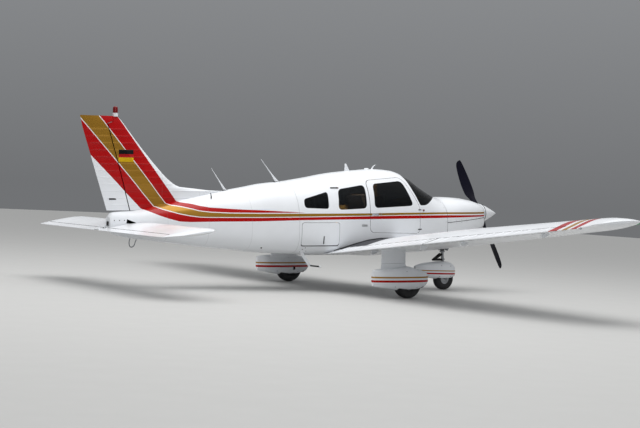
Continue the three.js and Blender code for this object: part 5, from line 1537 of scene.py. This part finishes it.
class AIRCRAFT_OT_fittings(bpy.types.Operator):
    """Aerials, beacon, lamps, step, handles, plates, screws and hinge brackets"""

    bl_idname = "aircraft.fittings"
    bl_label = "Fittings"

    def whip(self, name, base, tip, root_chord, node_name):
        """A white aerial, broad at its root and drawn out to a fine rod."""
        low, high = Vector((base[0], 0, base[1] - 0.015)), Vector((tip[0], 0, tip[1]))
        widths = smooth_rows([(0, root_chord, 0.022), (0.12, root_chord * 0.62, 0.018),
                              (0.40, 0.022, 0.013), (0.70, 0.012, 0.010), (1, 0.006, 0.006)])
        rings = []
        for i in range(21):
            share = i / 20
            chord, thick = widths(share)
            at = low.lerp(high, share)
            rings.append([(at.x + chord / 2 * math.cos(2 * math.pi * k / 20),
                           thick / 2 * math.sin(2 * math.pi * k / 20), at.z)
                          for k in range(20)])
        aerial = painted(bridge_rings(rings), finish("white"))
        foot = painted(box(base[0] - root_chord * 0.75, base[0] + root_chord * 0.75, -0.020, 0.020,
                           base[1] - 0.02, base[1] + 0.003, 0.002), finish("seal"))
        placed(joined([aerial, foot]), name, "airframe", [node_name])

    def execute(self, context):
        self.whip("whip_front", (-1.352, 1.640), (-1.650, 1.970), 0.095, "antenna_front")
        self.whip("whip_rear", (-2.245, 1.516), (-2.490, 1.830), 0.070, "antenna_rear")
        blade = painted(bridge_rings([
            [(x + chord / 2 * math.cos(2 * math.pi * k / 24),
              thick / 2 * math.sin(2 * math.pi * k / 24), z) for k in range(24)]
            for x, z, chord, thick in (
                (-0.082, 1.795, 0.118, 0.020), (-0.092, 1.830, 0.086, 0.017),
                (-0.106, 1.880, 0.052, 0.013), (-0.116, 1.915, 0.032, 0.010),
                (-0.118, 1.920, 0.020, 0.005))]), finish("white"))
        placed(blade, "aerial_blade", "airframe", ["antenna_blade"])
        bent = bridge_rings([
            [(x + 0.011 * s * math.cos(2 * math.pi * k / 16),
              0.007 * s * math.sin(2 * math.pi * k / 16), z) for k in range(16)]
            for x, z, s in ((0.385, 1.830, 2.6), (0.390, 1.848, 1.5), (0.402, 1.868, 1.1),
                            (0.424, 1.892, 1.0), (0.452, 1.908, 0.9), (0.480, 1.911, 0.6))])
        cap = revolved([(0, 1.830), (0.040, 1.830), (0.038, 1.846), (0.026, 1.856), (0, 1.859)],
                       40, axis="Z")
        cap.data.transform(Matrix.Translation((0.282, 0, 0)))
        placed(painted(joined([bent, cap]), finish("white")), "roof_aerial", "airframe")

        x, top = -4.012, FIN_TOP_Z
        base = painted(revolved([(0, top - 0.006), (0.034, top - 0.006), (0.034, top + 0.030),
                                 (0.037, top + 0.034), (0.037, top + 0.042), (0, top + 0.042)],
                                64, axis="Z"), finish("white"))
        lens = painted(revolved([(0, top + 0.042), (0.034, top + 0.042), (0.034, top + 0.100),
                                 (0.031, top + 0.120), (0.022, top + 0.130), (0, top + 0.132)],
                                64, axis="Z"), finish("red_lamp"))
        lamp = joined([base, lens])
        lamp.data.transform(Matrix.Translation((x, 0, 0)))
        placed(lamp, "beacon_lamp", "airframe", ["beacon"])

        strut = painted(extruded([(-1.225, -0.398, 0.640), (-1.168, -0.398, 0.640),
                                  (-1.002, -0.398, 0.428), (-1.045, -0.398, 0.404)],
                                 (0, 0.016, 0)), finish("white"))
        modify(strut, "BEVEL", width=0.003, segments=2, limit_method="ANGLE")
        bar = painted(rod((-1.018, -0.390, 0.420), (-0.885, -0.468, 0.4055), 0.011,
                          bevel=0.002), finish("seal"))
        cap = painted(rod((-0.905, -0.456, 0.4077), (-0.880, -0.470, 0.405), 0.0145,
                          bevel=0.005), finish("white"))
        plate = painted(extruded([(x, -0.404, 0.640 + z) for x, z in (
            (-1.245, -0.012), (-1.245, 0.004), (-1.140, 0.004), (-1.140, -0.012))],
            (0, 0.030, 0)), finish("white"))
        placed(joined([strut, bar, cap, plate]), "boarding_step_bar", "airframe",
               ["boarding_step"])
        places = []
        for x, z in ((-1.205, 0.668), (-1.170, 0.690), (-1.130, 0.640), (-1.215, 0.626)):
            spot = side_frame(x, z)
            at = spot.translation
            places.append((at.x, at.y, at.z, spot.col[1].to_3d()))
        placed(painted(screw_heads(places, 0.008), finish("seal")), "step_screws", "airframe")
        self.body_fittings()
        self.wing_fittings()
        self.tail_fittings()
        return {"FINISHED"}

    def on_side(self, piece, x, z, body, name, slot):
        piece.data.transform(side_frame(x, z))
        return placed(piece, name, body)

    def body_fittings(self):
        plate = painted(box(-0.066, 0.066, -0.002, 0.002, -0.020, 0.020, 0.0015), finish("chrome"))
        paddle = painted(box(-0.050, 0.046, 0.001, 0.010, -0.009, 0.011, 0.003, 3),
                         finish("chrome"))
        self.on_side(joined([plate, paddle]), 0.041, 1.163, "cabin_door", "door_handle",
                     "bare_steel")
        lock = painted(rod((0, -0.002, 0), (0, 0.003, 0), 0.010, bevel=0.001), finish("steel"))
        self.on_side(lock, 0.150, 1.166, "cabin_door", "door_lock", "bare_steel")
        latch = painted(box(-0.008, 0.008, -0.002, 0.004, -0.058, 0.058, 0.002), finish("seal"))
        self.on_side(latch, -0.885, 0.800, "baggage_door", "baggage_latch", "panel")
        for i, (x, z, half_x, half_z, body) in enumerate((
                (-0.163, 1.005, 0.052, 0.016, "airframe"),
                (0.905, 0.932, 0.038, 0.008, "airframe"),
                (0.905, 1.232, 0.026, 0.008, "airframe"))):
            plate = painted(box(-half_x, half_x, -0.001, 0.0012, -half_z, half_z, 0.0008),
                            finish("seal" if i else "plate"))
            self.on_side(plate, x, z, body, f"blank_plate_{i}", "bare_steel")
        grip = painted(box(-0.068, 0.060, -0.002, 0.010, -0.009, 0.009, 0.004, 3),
                       finish("seal"))
        tip = painted(box(0.060, 0.070, -0.002, 0.008, -0.008, 0.008, 0.003, 2),
                      finish("red_lamp"))
        self.on_side(joined([grip, tip]), -0.628, 1.560, "airframe", "grab_handle", "panel")
        cap = painted(rod((0, -0.003, 0), (0, 0.010, 0), 0.014, bevel=0.003),
                      finish("red_lamp"))
        pin = painted(rod((-0.010, 0.006, 0.004), (-0.110, 0.004, 0.012), 0.0025),
                      finish("steel"))
        self.on_side(joined([cap, pin]), 0.985, 1.222, "airframe", "red_pin", "red_lens")
        drain = painted(rod((0, -0.003, 0), (0, 0.006, 0), 0.012, bevel=0.002), finish("seal"))
        self.on_side(drain, -1.86, 0.70, "airframe", "side_port", "panel")
        places = []
        for side in (-1, 1):
            spots = [(1.452, z) for z in np.arange(0.66, 1.36, 0.075)]
            spots += [(x, 1.018 + (x - 1.4) * 0.0677 + rise) for x in
                      np.arange(1.56, 2.40, 0.12) for rise in (-0.020, 0.020)]
            for x, z in spots:
                frame_here = side_frame(x, z, side)
                at = frame_here.translation
                places.append((at.x, at.y, at.z, frame_here.col[1].to_3d()))
        placed(screw_heads(places, 0.005), "skin_screws", "airframe")

    def wing_roots(self):
        """The gritty walkway on the starboard root, and the dark strip along both junctions."""
        rows = [station_at(WING_ROWS, y) for y in (0.45, 1.20)]
        skin = bridge_rings([foil_ring(WING_OUTLINE, row) for row in rows])

        walk = painted(bridge_rings([foil_ring(WING_OUTLINE, row, 0.0012) for row in rows]),
                       finish("walkway"))
        back, front = -0.600, 0.380
        keep = bridge_rings([
            [(back, y, chord_height(back, y) + 0.015), (front, y, chord_height(front, y) + 0.015),
             (front, y, 1.1), (back, y, 1.1)] for y in (0.47, 1.06)])
        carve(walk, keep, "INTERSECT")
        carve(walk, skin)
        carve(walk, box(-0.65, -0.495, 0.605, 1.2, 0.5, 1.0))
        carve(walk, body_solid(1.2, -1.0, 0.0))
        placed(twin_of(walk, FLIP_Y), "wing_walkway", "airframe")
        bpy.data.objects.remove(walk)
        line = []
        for x in np.linspace(0.420, -0.660, 25):
            y, z = 0.55, 0.70
            for _ in range(4):
                z = wing_top(x, y)
                y = side_y(x, z)
            line.append((x, y + 0.003, z + 0.002))
        # A near-black strip runs along each junction of wing and body.
        for side, sign in (("left", 1), ("right", -1)):
            strip = tube([(x, sign * y, z) for x, y, z in line], 0.015, 12)
            placed(painted(strip, finish("dark")), f"wing_root_dark_strip_{side}", "airframe")

    def wing_fittings(self):
        self.wing_roots()
        for side, sign in (("left", 1), ("right", -1)):
            brackets = []
            for y in FLAP_HINGES + AILERON_HINGES:
                x, _, z, half = hinge_at(WING_FOIL, WING_ROWS, y, WING_HINGE_SHARE)
                front = x + half + 0.014
                brackets.append(painted(extruded([
                    (front + 0.150, y - 0.009, z - half + 0.010),
                    (front + 0.140, y - 0.009, z - half - 0.012),
                    (front + 0.050, y - 0.009, z - half - 0.059),
                    (front, y - 0.009, z - half - 0.056), (front, y - 0.009, z),
                    (front + 0.10, y - 0.009, z)], (0, 0.018, 0)), finish("white")))
                arm = box(x, front + 0.01, y - 0.005, y + 0.005, z - 0.011, z + 0.011)
                pin = rod(*(hinge_at(WING_FOIL, WING_ROWS, y + step, WING_HINGE_SHARE)[:3]
                            for step in (-0.025, 0.025)), 0.005)
                brackets.append(painted(joined([arm, pin]), finish("steel")))
            piece = joined(brackets)
            if sign < 0:
                piece.data.transform(FLIP_Y)
                piece.data.flip_normals()
            placed(piece, f"hinge_brackets_{side}", "airframe")
            lens_rows = WING_ROWS[3:]
            lead = lens_rows[0][1] * MM
            lens = painted(bridge_rings([
                [(lead - 0.045 + 0.055 * math.cos(2 * math.pi * k / 24), 5.14 + out,
                  1.243 + 0.022 * grow * math.sin(2 * math.pi * k / 24)) for k in range(24)]
                for out, grow in ((-0.03, 0.9), (0.02, 1.0), (0.05, 0.8), (0.062, 0.4))]),
                finish("red_lamp" if sign > 0 else "green_lamp"))
            tail_lens = painted(rod((-0.395, 5.19, 1.196), (-0.425, 5.205, 1.194), 0.016, 0.012,
                                    bevel=0.003), finish("clear_lamp"))
            lamps = joined([lens, tail_lens])
            if sign < 0:
                lamps.data.transform(FLIP_Y)
                lamps.data.flip_normals()
            placed(lamps, f"wing_lamps_{side}", "airframe")
        mast = painted(extruded([(0.170, 3.080, 0.960), (0.060, 3.080, 0.960),
                                 (0.080, 3.080, 0.806), (0.092, 3.080, 0.800),
                                 (0.185, 3.080, 0.812), (0.190, 3.080, 0.820)],
                                (0, 0.024, 0)), finish("white"))
        modify(mast, "BEVEL", width=0.006, segments=3, limit_method="ANGLE")
        wing = bridge_rings([foil_ring(WING_OUTLINE, [v * MM for v in row[:-1]] + [row[-1]])
                             for row in WING_ROWS[1:3]])
        carve(mast, wing)
        placed(mast, "pitot_mast", "airframe")

    def tail_fittings(self):
        trim = painted(box(-4.098, -3.925, -0.001, 0.0015, -0.011, 0.011, 0.0008), finish("dark"))
        for side in (-1, 1):
            piece = twin_of(trim, Matrix.Identity(4))
            at = station_at([(z, lead, trail, 0, 0, thick)
                             for z, lead, trail, thick in FIN_ROWS], 1.393)
            off = np.interp((at[1] + 4.021) / (at[1] - at[2]), [f[0] for f in TAIL_FOIL],
                            [f[1] for f in TAIL_FOIL]) * (at[1] - at[2]) * at[5]
            piece.data.transform(Matrix.Translation((0, side * (off + 0.0005), 1.393)))
            placed(piece, f"rudder_mark_{'left' if side > 0 else 'right'}", "rudder")
        bpy.data.objects.remove(trim)
        screws = [(x, side * (side_y(x, 1.105) + 0.0006), 1.105, (0, side, 0))
                  for x in (-4.055, -3.985, -3.915) for side in (-1, 1)]
        placed(painted(screw_heads(screws, 0.008), finish("seal")), "tail_cap_screws",
               "airframe")
        lamp = painted(box(-4.118, -4.1055, -0.026, 0.026, 1.030, 1.090, 0.004), finish("seal"))
        placed(lamp, "tail_lamp", "airframe")
        stub = painted(bridge_rings([
            [(x + 0.011 * s * math.cos(2 * math.pi * k / 12), -0.200 + shift +
              0.006 * s * math.sin(2 * math.pi * k / 12), z) for k in range(12)]
            for x, z, s, shift in ((-2.600, 1.400, 1.0, 0), (-2.604, 1.440, 0.8, 0),
                                   (-2.612, 1.480, 0.45, 0))]), finish("seal"))
        placed(stub, "side_stub", "airframe")
        skid = painted(tube([(-3.660, 0, 0.870), (-3.690, 0, 0.790), (-3.715, 0, 0.742),
                             (-3.755, 0, 0.732), (-3.780, 0, 0.765), (-3.765, 0, 0.870)],
                            0.007, 12), finish("steel"))
        placed(skid, "tie_down_loop", "airframe")


# Seats: where each stands, in metres: x, y of its middle, half width
SEAT_BASE_Z = 0.8004
FRONT_SEAT = {"x": 0.520, "y": 0.232, "half": 0.218}
REAR_SEAT = {"x": -0.420, "y": 0.194, "half": 0.190}
CUSHION = {"back": -0.150, "front": 0.232, "low": 0.022, "high": 0.128}
BACKREST = {"foot": (-0.166, 0.150), "head": (-0.272, 0.660), "thick": 0.082}
PANEL_FACE = [(1.045, 1.000), (1.020, 1.320)]
YOKE_Y = 0.265


def swollen(piece, reach=0.024, channels=()):
    """A plain form blown up as cloth, its points held within a reach, then sewn across."""
    use(piece)
    piece.data.remesh_voxel_size = 0.008
    bpy.ops.object.voxel_remesh()
    start = points_of(piece)
    bpy.ops.object.modifier_add(type="CLOTH")
    cloth = piece.modifiers[-1]
    cloth.settings.quality = 5
    cloth.settings.use_pressure = True
    cloth.settings.uniform_pressure_force = 4
    cloth.settings.effector_weights.gravity = 0
    for tick in range(1, 21):
        bpy.context.scene.frame_set(tick)
    bpy.ops.object.modifier_apply(modifier=cloth.name)
    bpy.context.scene.frame_set(1)
    moved = points_of(piece) - start
    far = np.maximum(np.linalg.norm(moved, axis=1), 1e-9)[:, None]
    start += moved * np.minimum(1.0, reach / far)
    piece.data.vertices.foreach_set("co", start.astype(np.float32).ravel())
    modify(piece, "SUBSURF", levels=1, render_levels=1)
    points = points_of(piece)
    top = points[:, 2] > points[:, 2].mean()
    for place in channels:
        depth = 0.007 * np.exp(-((points[:, 1] - place) / 0.006) ** 2)
        points[:, 2] -= np.where(top, depth, 0)
    piece.data.vertices.foreach_set("co", points.astype(np.float32).ravel())
    piece.data.update()
    return piece


def points_of(piece):
    flat = np.empty(len(piece.data.vertices) * 3, np.float32)
    piece.data.vertices.foreach_get("co", flat)
    return flat.reshape(-1, 3).astype(float)


class AIRCRAFT_OT_cabin(bpy.types.Operator):
    """Seats, instrument panel with its shield, control wheels, pedals and floor"""

    bl_idname = "aircraft.cabin"
    bl_label = "Cabin"

    def seat_pads(self, half):
        """The cushion and the backrest, both lying about their own origin."""
        low, high = CUSHION["low"], CUSHION["high"]
        cushion = box(CUSHION["back"], CUSHION["front"], -half + 0.012, half - 0.012,
                      low, high - 0.020, 0.034, 5)
        cushion = swollen(cushion, 0.022, (-half * 0.42, half * 0.42))
        foot, head = Vector(BACKREST["foot"]), Vector(BACKREST["head"])
        length, thick = (head - foot).length, BACKREST["thick"]
        rest = box(0.0, length, -half + 0.016, half - 0.016, 0.012, thick - 0.012, 0.026, 5)
        points = points_of(rest)
        narrow = 1 - 0.16 * np.clip((points[:, 0] / length - 0.62) / 0.38, 0, 1) ** 2
        points[:, 1] *= narrow
        rest.data.vertices.foreach_set("co", points.astype(np.float32).ravel())
        rest = swollen(rest, 0.018, (-half * 0.42, half * 0.42))
        run = (head - foot).normalized()
        rest.data.transform(Matrix((
            (run.x, 0, run.y, foot.x), (0, -1, 0, 0), (run.y, 0, -run.x, foot.y), (0, 0, 0, 1))))
        return cushion, rest

    def seat_frame(self, half):
        """The tray, side plates with the recline knob, and the shell behind the backrest."""
        (fx, fz), (hx, hz) = BACKREST["foot"], BACKREST["head"]
        parts = [box(-0.168, 0.226, -half + 0.010, half - 0.010, 0.002, 0.026, 0.006)]
        for side in (-1, 1):
            parts.append(extruded(
                [(-0.196, side * (half - 0.004), 0.006), (-0.216, side * (half - 0.004), 0.150),
                 (-0.150, side * (half - 0.004), 0.190), (-0.060, side * (half - 0.004), 0.060),
                 (0.100, side * (half - 0.004), 0.006)], (0, side * 0.006, 0)))
            parts.append(rod((-0.165, side * (half - 0.002), 0.125),
                             (-0.165, side * (half + 0.002), 0.125), 0.022, bevel=0.001))
        back = extruded([(fx - 0.006, -half + 0.030, fz), (fx - 0.020, -half + 0.030, fz + 0.004),
                         (hx - 0.026, -half + 0.030, hz - 0.030),
                         (hx - 0.012, -half + 0.030, hz - 0.026)], (0, 2 * half - 0.060, 0))
        parts.append(back)
        return painted(joined(parts), finish("panel"))

    def seats(self):
        rows = ((FRONT_SEAT, "front", ("seat_front_left", "seat_front_right")),
                (REAR_SEAT, "rear", ("seat_rear", "seat_rear")))
        for seat, row, nodes in rows:
            cushion, rest = self.seat_pads(seat["half"])
            shell = self.seat_frame(seat["half"])
            for side, sign, cad in (("left", 1, nodes[0]), ("right", -1, nodes[1])):
                shift = Matrix.Translation((seat["x"], sign * seat["y"], SEAT_BASE_Z))
                for piece, part in ((cushion, "cushion"), (rest, "backrest")):
                    pad = placed(twin_of(piece, shift), f"{part}_{row}_{side}", "airframe",
                                 [cad], finish("leather"), sharp=60)
                placed(twin_of(shell, shift), f"seat_shell_{row}_{side}", "airframe")
            for spare in (cushion, rest, shell):
                bpy.data.objects.remove(spare)

    def on_face(self, y, z):
        """A frame on the panel's face, its Z towards the seats."""
        (x0, z0), (x1, z1) = PANEL_FACE
        x = x0 + (x1 - x0) * (z - z0) / (z1 - z0)
        return facing((x, y, z), (z0 - z1, 0, x1 - x0))

    def dial(self, y, z, radius, turn):
        """A round instrument with its bezel, marks and needle."""
        ring = painted(revolved([(radius, -0.002), (radius, 0.006), (radius * 0.86, 0.008),
                                 (radius * 0.82, 0.002), (radius * 0.82, -0.002)], 40, axis="Z"),
                       finish("seal"))
        face = painted(rod((0, 0, -0.002), (0, 0, 0.0012), radius * 0.84, sides=32),
                       finish("dark"))
        marks = [box(radius * 0.62, radius * 0.78, -0.0008, 0.0008, 0.001, 0.0018)
                 for _ in range(10)]
        for i, mark in enumerate(marks):
            mark.data.transform(Matrix.Rotation(i * math.pi / 5, 4, "Z"))
        needle = box(-radius * 0.15, radius * 0.6, -0.0012, 0.0012, 0.001, 0.0026)
        needle.data.transform(Matrix.Rotation(turn, 4, "Z"))
        piece = joined([ring, face, painted(joined([*marks, needle]), finish("white_metal"))])
        piece.data.transform(self.on_face(y, z))
        return piece

    def radio(self, y, z, half, height):
        body = painted(box(-height / 2, height / 2, -half, half, -0.004, 0.010, 0.002),
                       finish("seal"))
        window = painted(box(-height * 0.28, height * 0.28, -half * 0.62, half * 0.62, 0.008,
                             0.0108), finish("green_lamp"))
        knobs = painted(joined([rod((0, side * half * 0.82, 0.008), (0, side * half * 0.82, 0.024),
                                    0.008, 0.0065, 20) for side in (-1, 1)]), finish("panel"))
        piece = joined([body, window, knobs])
        piece.data.transform(self.on_face(y, z))
        return piece

    def instruments(self):
        room = body_solid(FIREWALL_X - 0.002, TAIL_JOINT_X + 0.002, 0.0325)
        board = painted(side_block([(1045, 1000), (1020, 1320), (1080, 1346), (1440, 1338),
                                    (1440, 1300), (1110, 1290), (1110, 1000)], 10, -0.5, 0.5),
                        finish("panel"))
        carve(board, room, "INTERSECT")
        lip = painted(tube([(1.030, -0.462, 1.290), (1.022, -0.30, 1.322), (1.020, 0.0, 1.328),
                            (1.022, 0.30, 1.322), (1.030, 0.462, 1.290)], 0.011, 16),
                      finish("seal"))
        parts = [board, lip]
        for i, (y, z) in enumerate((y, z) for z in (1.262, 1.172) for y in (0.355, 0.265, 0.175)):
            parts.append(self.dial(y, z, 0.040, 0.9 + i * 1.1))
        for i, (y, z) in enumerate(((-0.155, 1.262), (-0.215, 1.262), (-0.155, 1.204),
                                    (-0.215, 1.204), (0.425, 1.215), (-0.300, 1.240))):
            parts.append(self.dial(y, z, 0.026, 0.4 + i * 1.7))
        for i in range(4):
            parts.append(self.radio(0.010, 1.272 - i * 0.046, 0.085, 0.042))
        glove = painted(box(-0.048, 0.048, -0.105, 0.105, -0.002, 0.006, 0.003), finish("seal"))
        glove.data.transform(self.on_face(-0.305, 1.100))
        parts.append(glove)
        for i in range(9):
            rocker = painted(box(-0.011, 0.011, -0.006, 0.006, -0.002, 0.009, 0.002),
                             finish("white_metal" if i % 3 else "red_lamp"))
            rocker.data.transform(self.on_face(0.150 + i * 0.024, 1.072))
            parts.append(rocker)
        for i, tone in enumerate(("panel", "green_lamp", "red_lamp")):
            y = 0.035 - i * 0.030
            lever = painted(rod((1.045, y, 1.045), (0.990, y, 1.075), 0.0045), finish("steel"))
            knob = painted(rod((0.992, y - 0.010, 1.076), (0.992, y + 0.010, 1.076), 0.013,
                               bevel=0.003), finish(tone))
            parts += [lever, knob]
        parts.append(painted(box(1.010, 1.060, -0.055, 0.065, 1.010, 1.050, 0.008, 3),
                             finish("panel")))
        placed(joined(parts), "instrument_board", "airframe", ["instrument_panel"])
        for name, y in (("left", YOKE_Y), ("right", -YOKE_Y)):
            grip = tube([(0.872, y - 0.060, 1.243), (0.872, y - 0.112, 1.236),
                         (0.874, y - 0.114, 1.170), (0.878, y - 0.085, 1.128),
                         (0.878, y, 1.124), (0.878, y + 0.085, 1.128),
                         (0.874, y + 0.114, 1.170), (0.872, y + 0.112, 1.236),
                         (0.872, y + 0.060, 1.243)], 0.0115, 16)
            boss = box(0.868, 0.890, y - 0.038, y + 0.038, 1.118, 1.176, 0.008, 3)
            shaft = painted(rod((0.880, y, 1.150), (1.042, y, 1.150), 0.013), finish("chrome"))
            placed(joined([painted(joined([grip, boss]), finish("seal")), shaft]),
                   f"control_wheel_{name}", "airframe")
        for name, y in (("left", YOKE_Y), ("right", -YOKE_Y)):
            pedals = []
            for side in (-1, 1):
                place = y + side * 0.072
                pedals.append(rod((1.330, place - 0.038, 0.785), (1.330, place + 0.038, 0.785),
                                  0.012, bevel=0.002))
                pedals.append(rod((1.345, place, 0.672), (1.332, place, 0.785), 0.008))
                pedals.append(box(1.322, 1.330, place - 0.034, place + 0.034, 0.790, 0.850,
                                  0.002))
            placed(painted(joined(pedals), finish("steel")), f"pedals_{name}", "airframe")

    def execute(self, context):
        painted(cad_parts["cabin_floor"], finish("carpet"))
        self.seats()
        self.instruments()
        rails = [rod((0.250, y, 0.672), (0.900, y, 0.672), 0.006) for y in
                 (-0.400, -0.064, 0.064, 0.400)]
        flap_lever = [rod((0.150, 0, 0.762), (0.330, 0, 0.850), 0.009),
                      rod((0.325, 0, 0.8475), (0.400, 0, 0.884), 0.014, bevel=0.004)]
        placed(painted(joined(rails + flap_lever), finish("steel")), "seat_rails", "airframe")
        return {"FINISHED"}


class AIRCRAFT_OT_stage(bpy.types.Operator):
    """Studio floor, soft lights and the camera"""

    bl_idname = "aircraft.stage"
    bl_label = "Stage"

    def execute(self, context):
        deselect()
        bpy.ops.mesh.primitive_plane_add(size=90, location=(0, 0, -0.001))
        floor = painted(applied(), finish("floor"))
        floor.name = "studio_floor"
        world = bpy.data.worlds.new("studio")
        world.use_nodes = True
        nodes, links = world.node_tree.nodes, world.node_tree.links
        split = nodes.new("ShaderNodeSeparateXYZ")
        links.new(nodes.new("ShaderNodeTexCoord").outputs["Generated"], split.inputs["Vector"])
        ramp = nodes.new("ShaderNodeValToRGB")
        links.new(split.outputs["Z"], ramp.inputs["Fac"])
        for stop, place, tone in zip((ramp.color_ramp.elements[0], ramp.color_ramp.elements[1],
                                      ramp.color_ramp.elements.new(0.3)), (0.0, 1.0, 0.3),
                                     (0.17, 0.85, 0.34)):
            stop.position = place
            stop.color = (tone * 0.97, tone, tone * 1.04, 1)
        links.new(ramp.outputs["Color"], nodes["Background"].inputs["Color"])
        context.scene.world = world
        for name, place, target, size, power in (
                ("overhead", (-2, -2, 12), (0, 0, 0.5), 14, 1250),
                ("side", (-8, -18, 6), (-0.5, 0, 1.0), 7, 330),
                ("cabin", (0.75, -0.20, 1.64), (0.85, 0.52, 1.50), 0.3, 8)):
            lamp = bpy.data.lights.new(name, "AREA")
            lamp.shape = "DISK"
            lamp.size = size
            lamp.energy = power
            holder = bpy.data.objects.new(name, lamp)
            context.collection.objects.link(holder)
            holder.location = place
            aim = Vector(target) - Vector(place)
            holder.rotation_euler = aim.to_track_quat("-Z", "Y").to_euler()
            if name == "cabin":
                lamp.spread = math.radians(110)
                holder.visible_camera = False
        context.scene.view_settings.view_transform = "Standard"

        yaw, pitch, roll = math.radians(54.62), math.radians(-0.78), math.radians(2.98)
        forward = Vector((math.cos(pitch) * math.cos(yaw), math.cos(pitch) * math.sin(yaw),
                          math.sin(pitch)))
        level = forward.cross(Vector((0, 0, 1))).normalized()
        above = level.cross(forward)
        right = level * math.cos(roll) + above * math.sin(roll)
        up = above * math.cos(roll) - level * math.sin(roll)
        lens = bpy.data.cameras.new("camera")
        lens.sensor_width = 36
        lens.lens = 36 * 1380.8 / 640
        lens.clip_end = 500
        camera = bpy.data.objects.new("camera", lens)
        context.collection.objects.link(camera)
        turn = Matrix((right, up, -forward)).transposed().to_4x4()
        camera.matrix_world = Matrix.Translation((-11.810, -16.951, 1.414)) @ turn
        context.scene.camera = camera
        return {"FINISHED"}


class AIRCRAFT_PT_panel(bpy.types.Panel):
    """Lists the builders and the values they read"""

    bl_label = "Light Aircraft"
    bl_idname = "AIRCRAFT_PT_panel"
    bl_space_type = "VIEW_3D"
    bl_region_type = "UI"
    bl_category = "Aircraft"

    def draw(self, context):
        for key in AircraftSettings.__annotations__:
            self.layout.prop(context.scene.aircraft, key)
        for builder in BUILDERS:
            self.layout.operator(builder.bl_idname)


BUILDERS = (
    AIRCRAFT_OT_stage, AIRCRAFT_OT_fuselage, AIRCRAFT_OT_cowling, AIRCRAFT_OT_doors,
    AIRCRAFT_OT_glazing, AIRCRAFT_OT_wings, AIRCRAFT_OT_tail, AIRCRAFT_OT_main_gear,
    AIRCRAFT_OT_nose_gear, AIRCRAFT_OT_propeller, AIRCRAFT_OT_fittings, AIRCRAFT_OT_cabin,
)
CLASSES = (AircraftSettings, *BUILDERS, AIRCRAFT_PT_panel)


def register():
    for cls in CLASSES:
        bpy.utils.register_class(cls)
    bpy.types.Scene.aircraft = PointerProperty(type=AircraftSettings)


def unregister():
    del bpy.types.Scene.aircraft
    for cls in reversed(CLASSES):
        bpy.utils.unregister_class(cls)


def main():
    register()
    for builder in BUILDERS:
        group, name = builder.bl_idname.split(".")
        getattr(getattr(bpy.ops, group), name)()


if __name__ == "__main__":
    main()
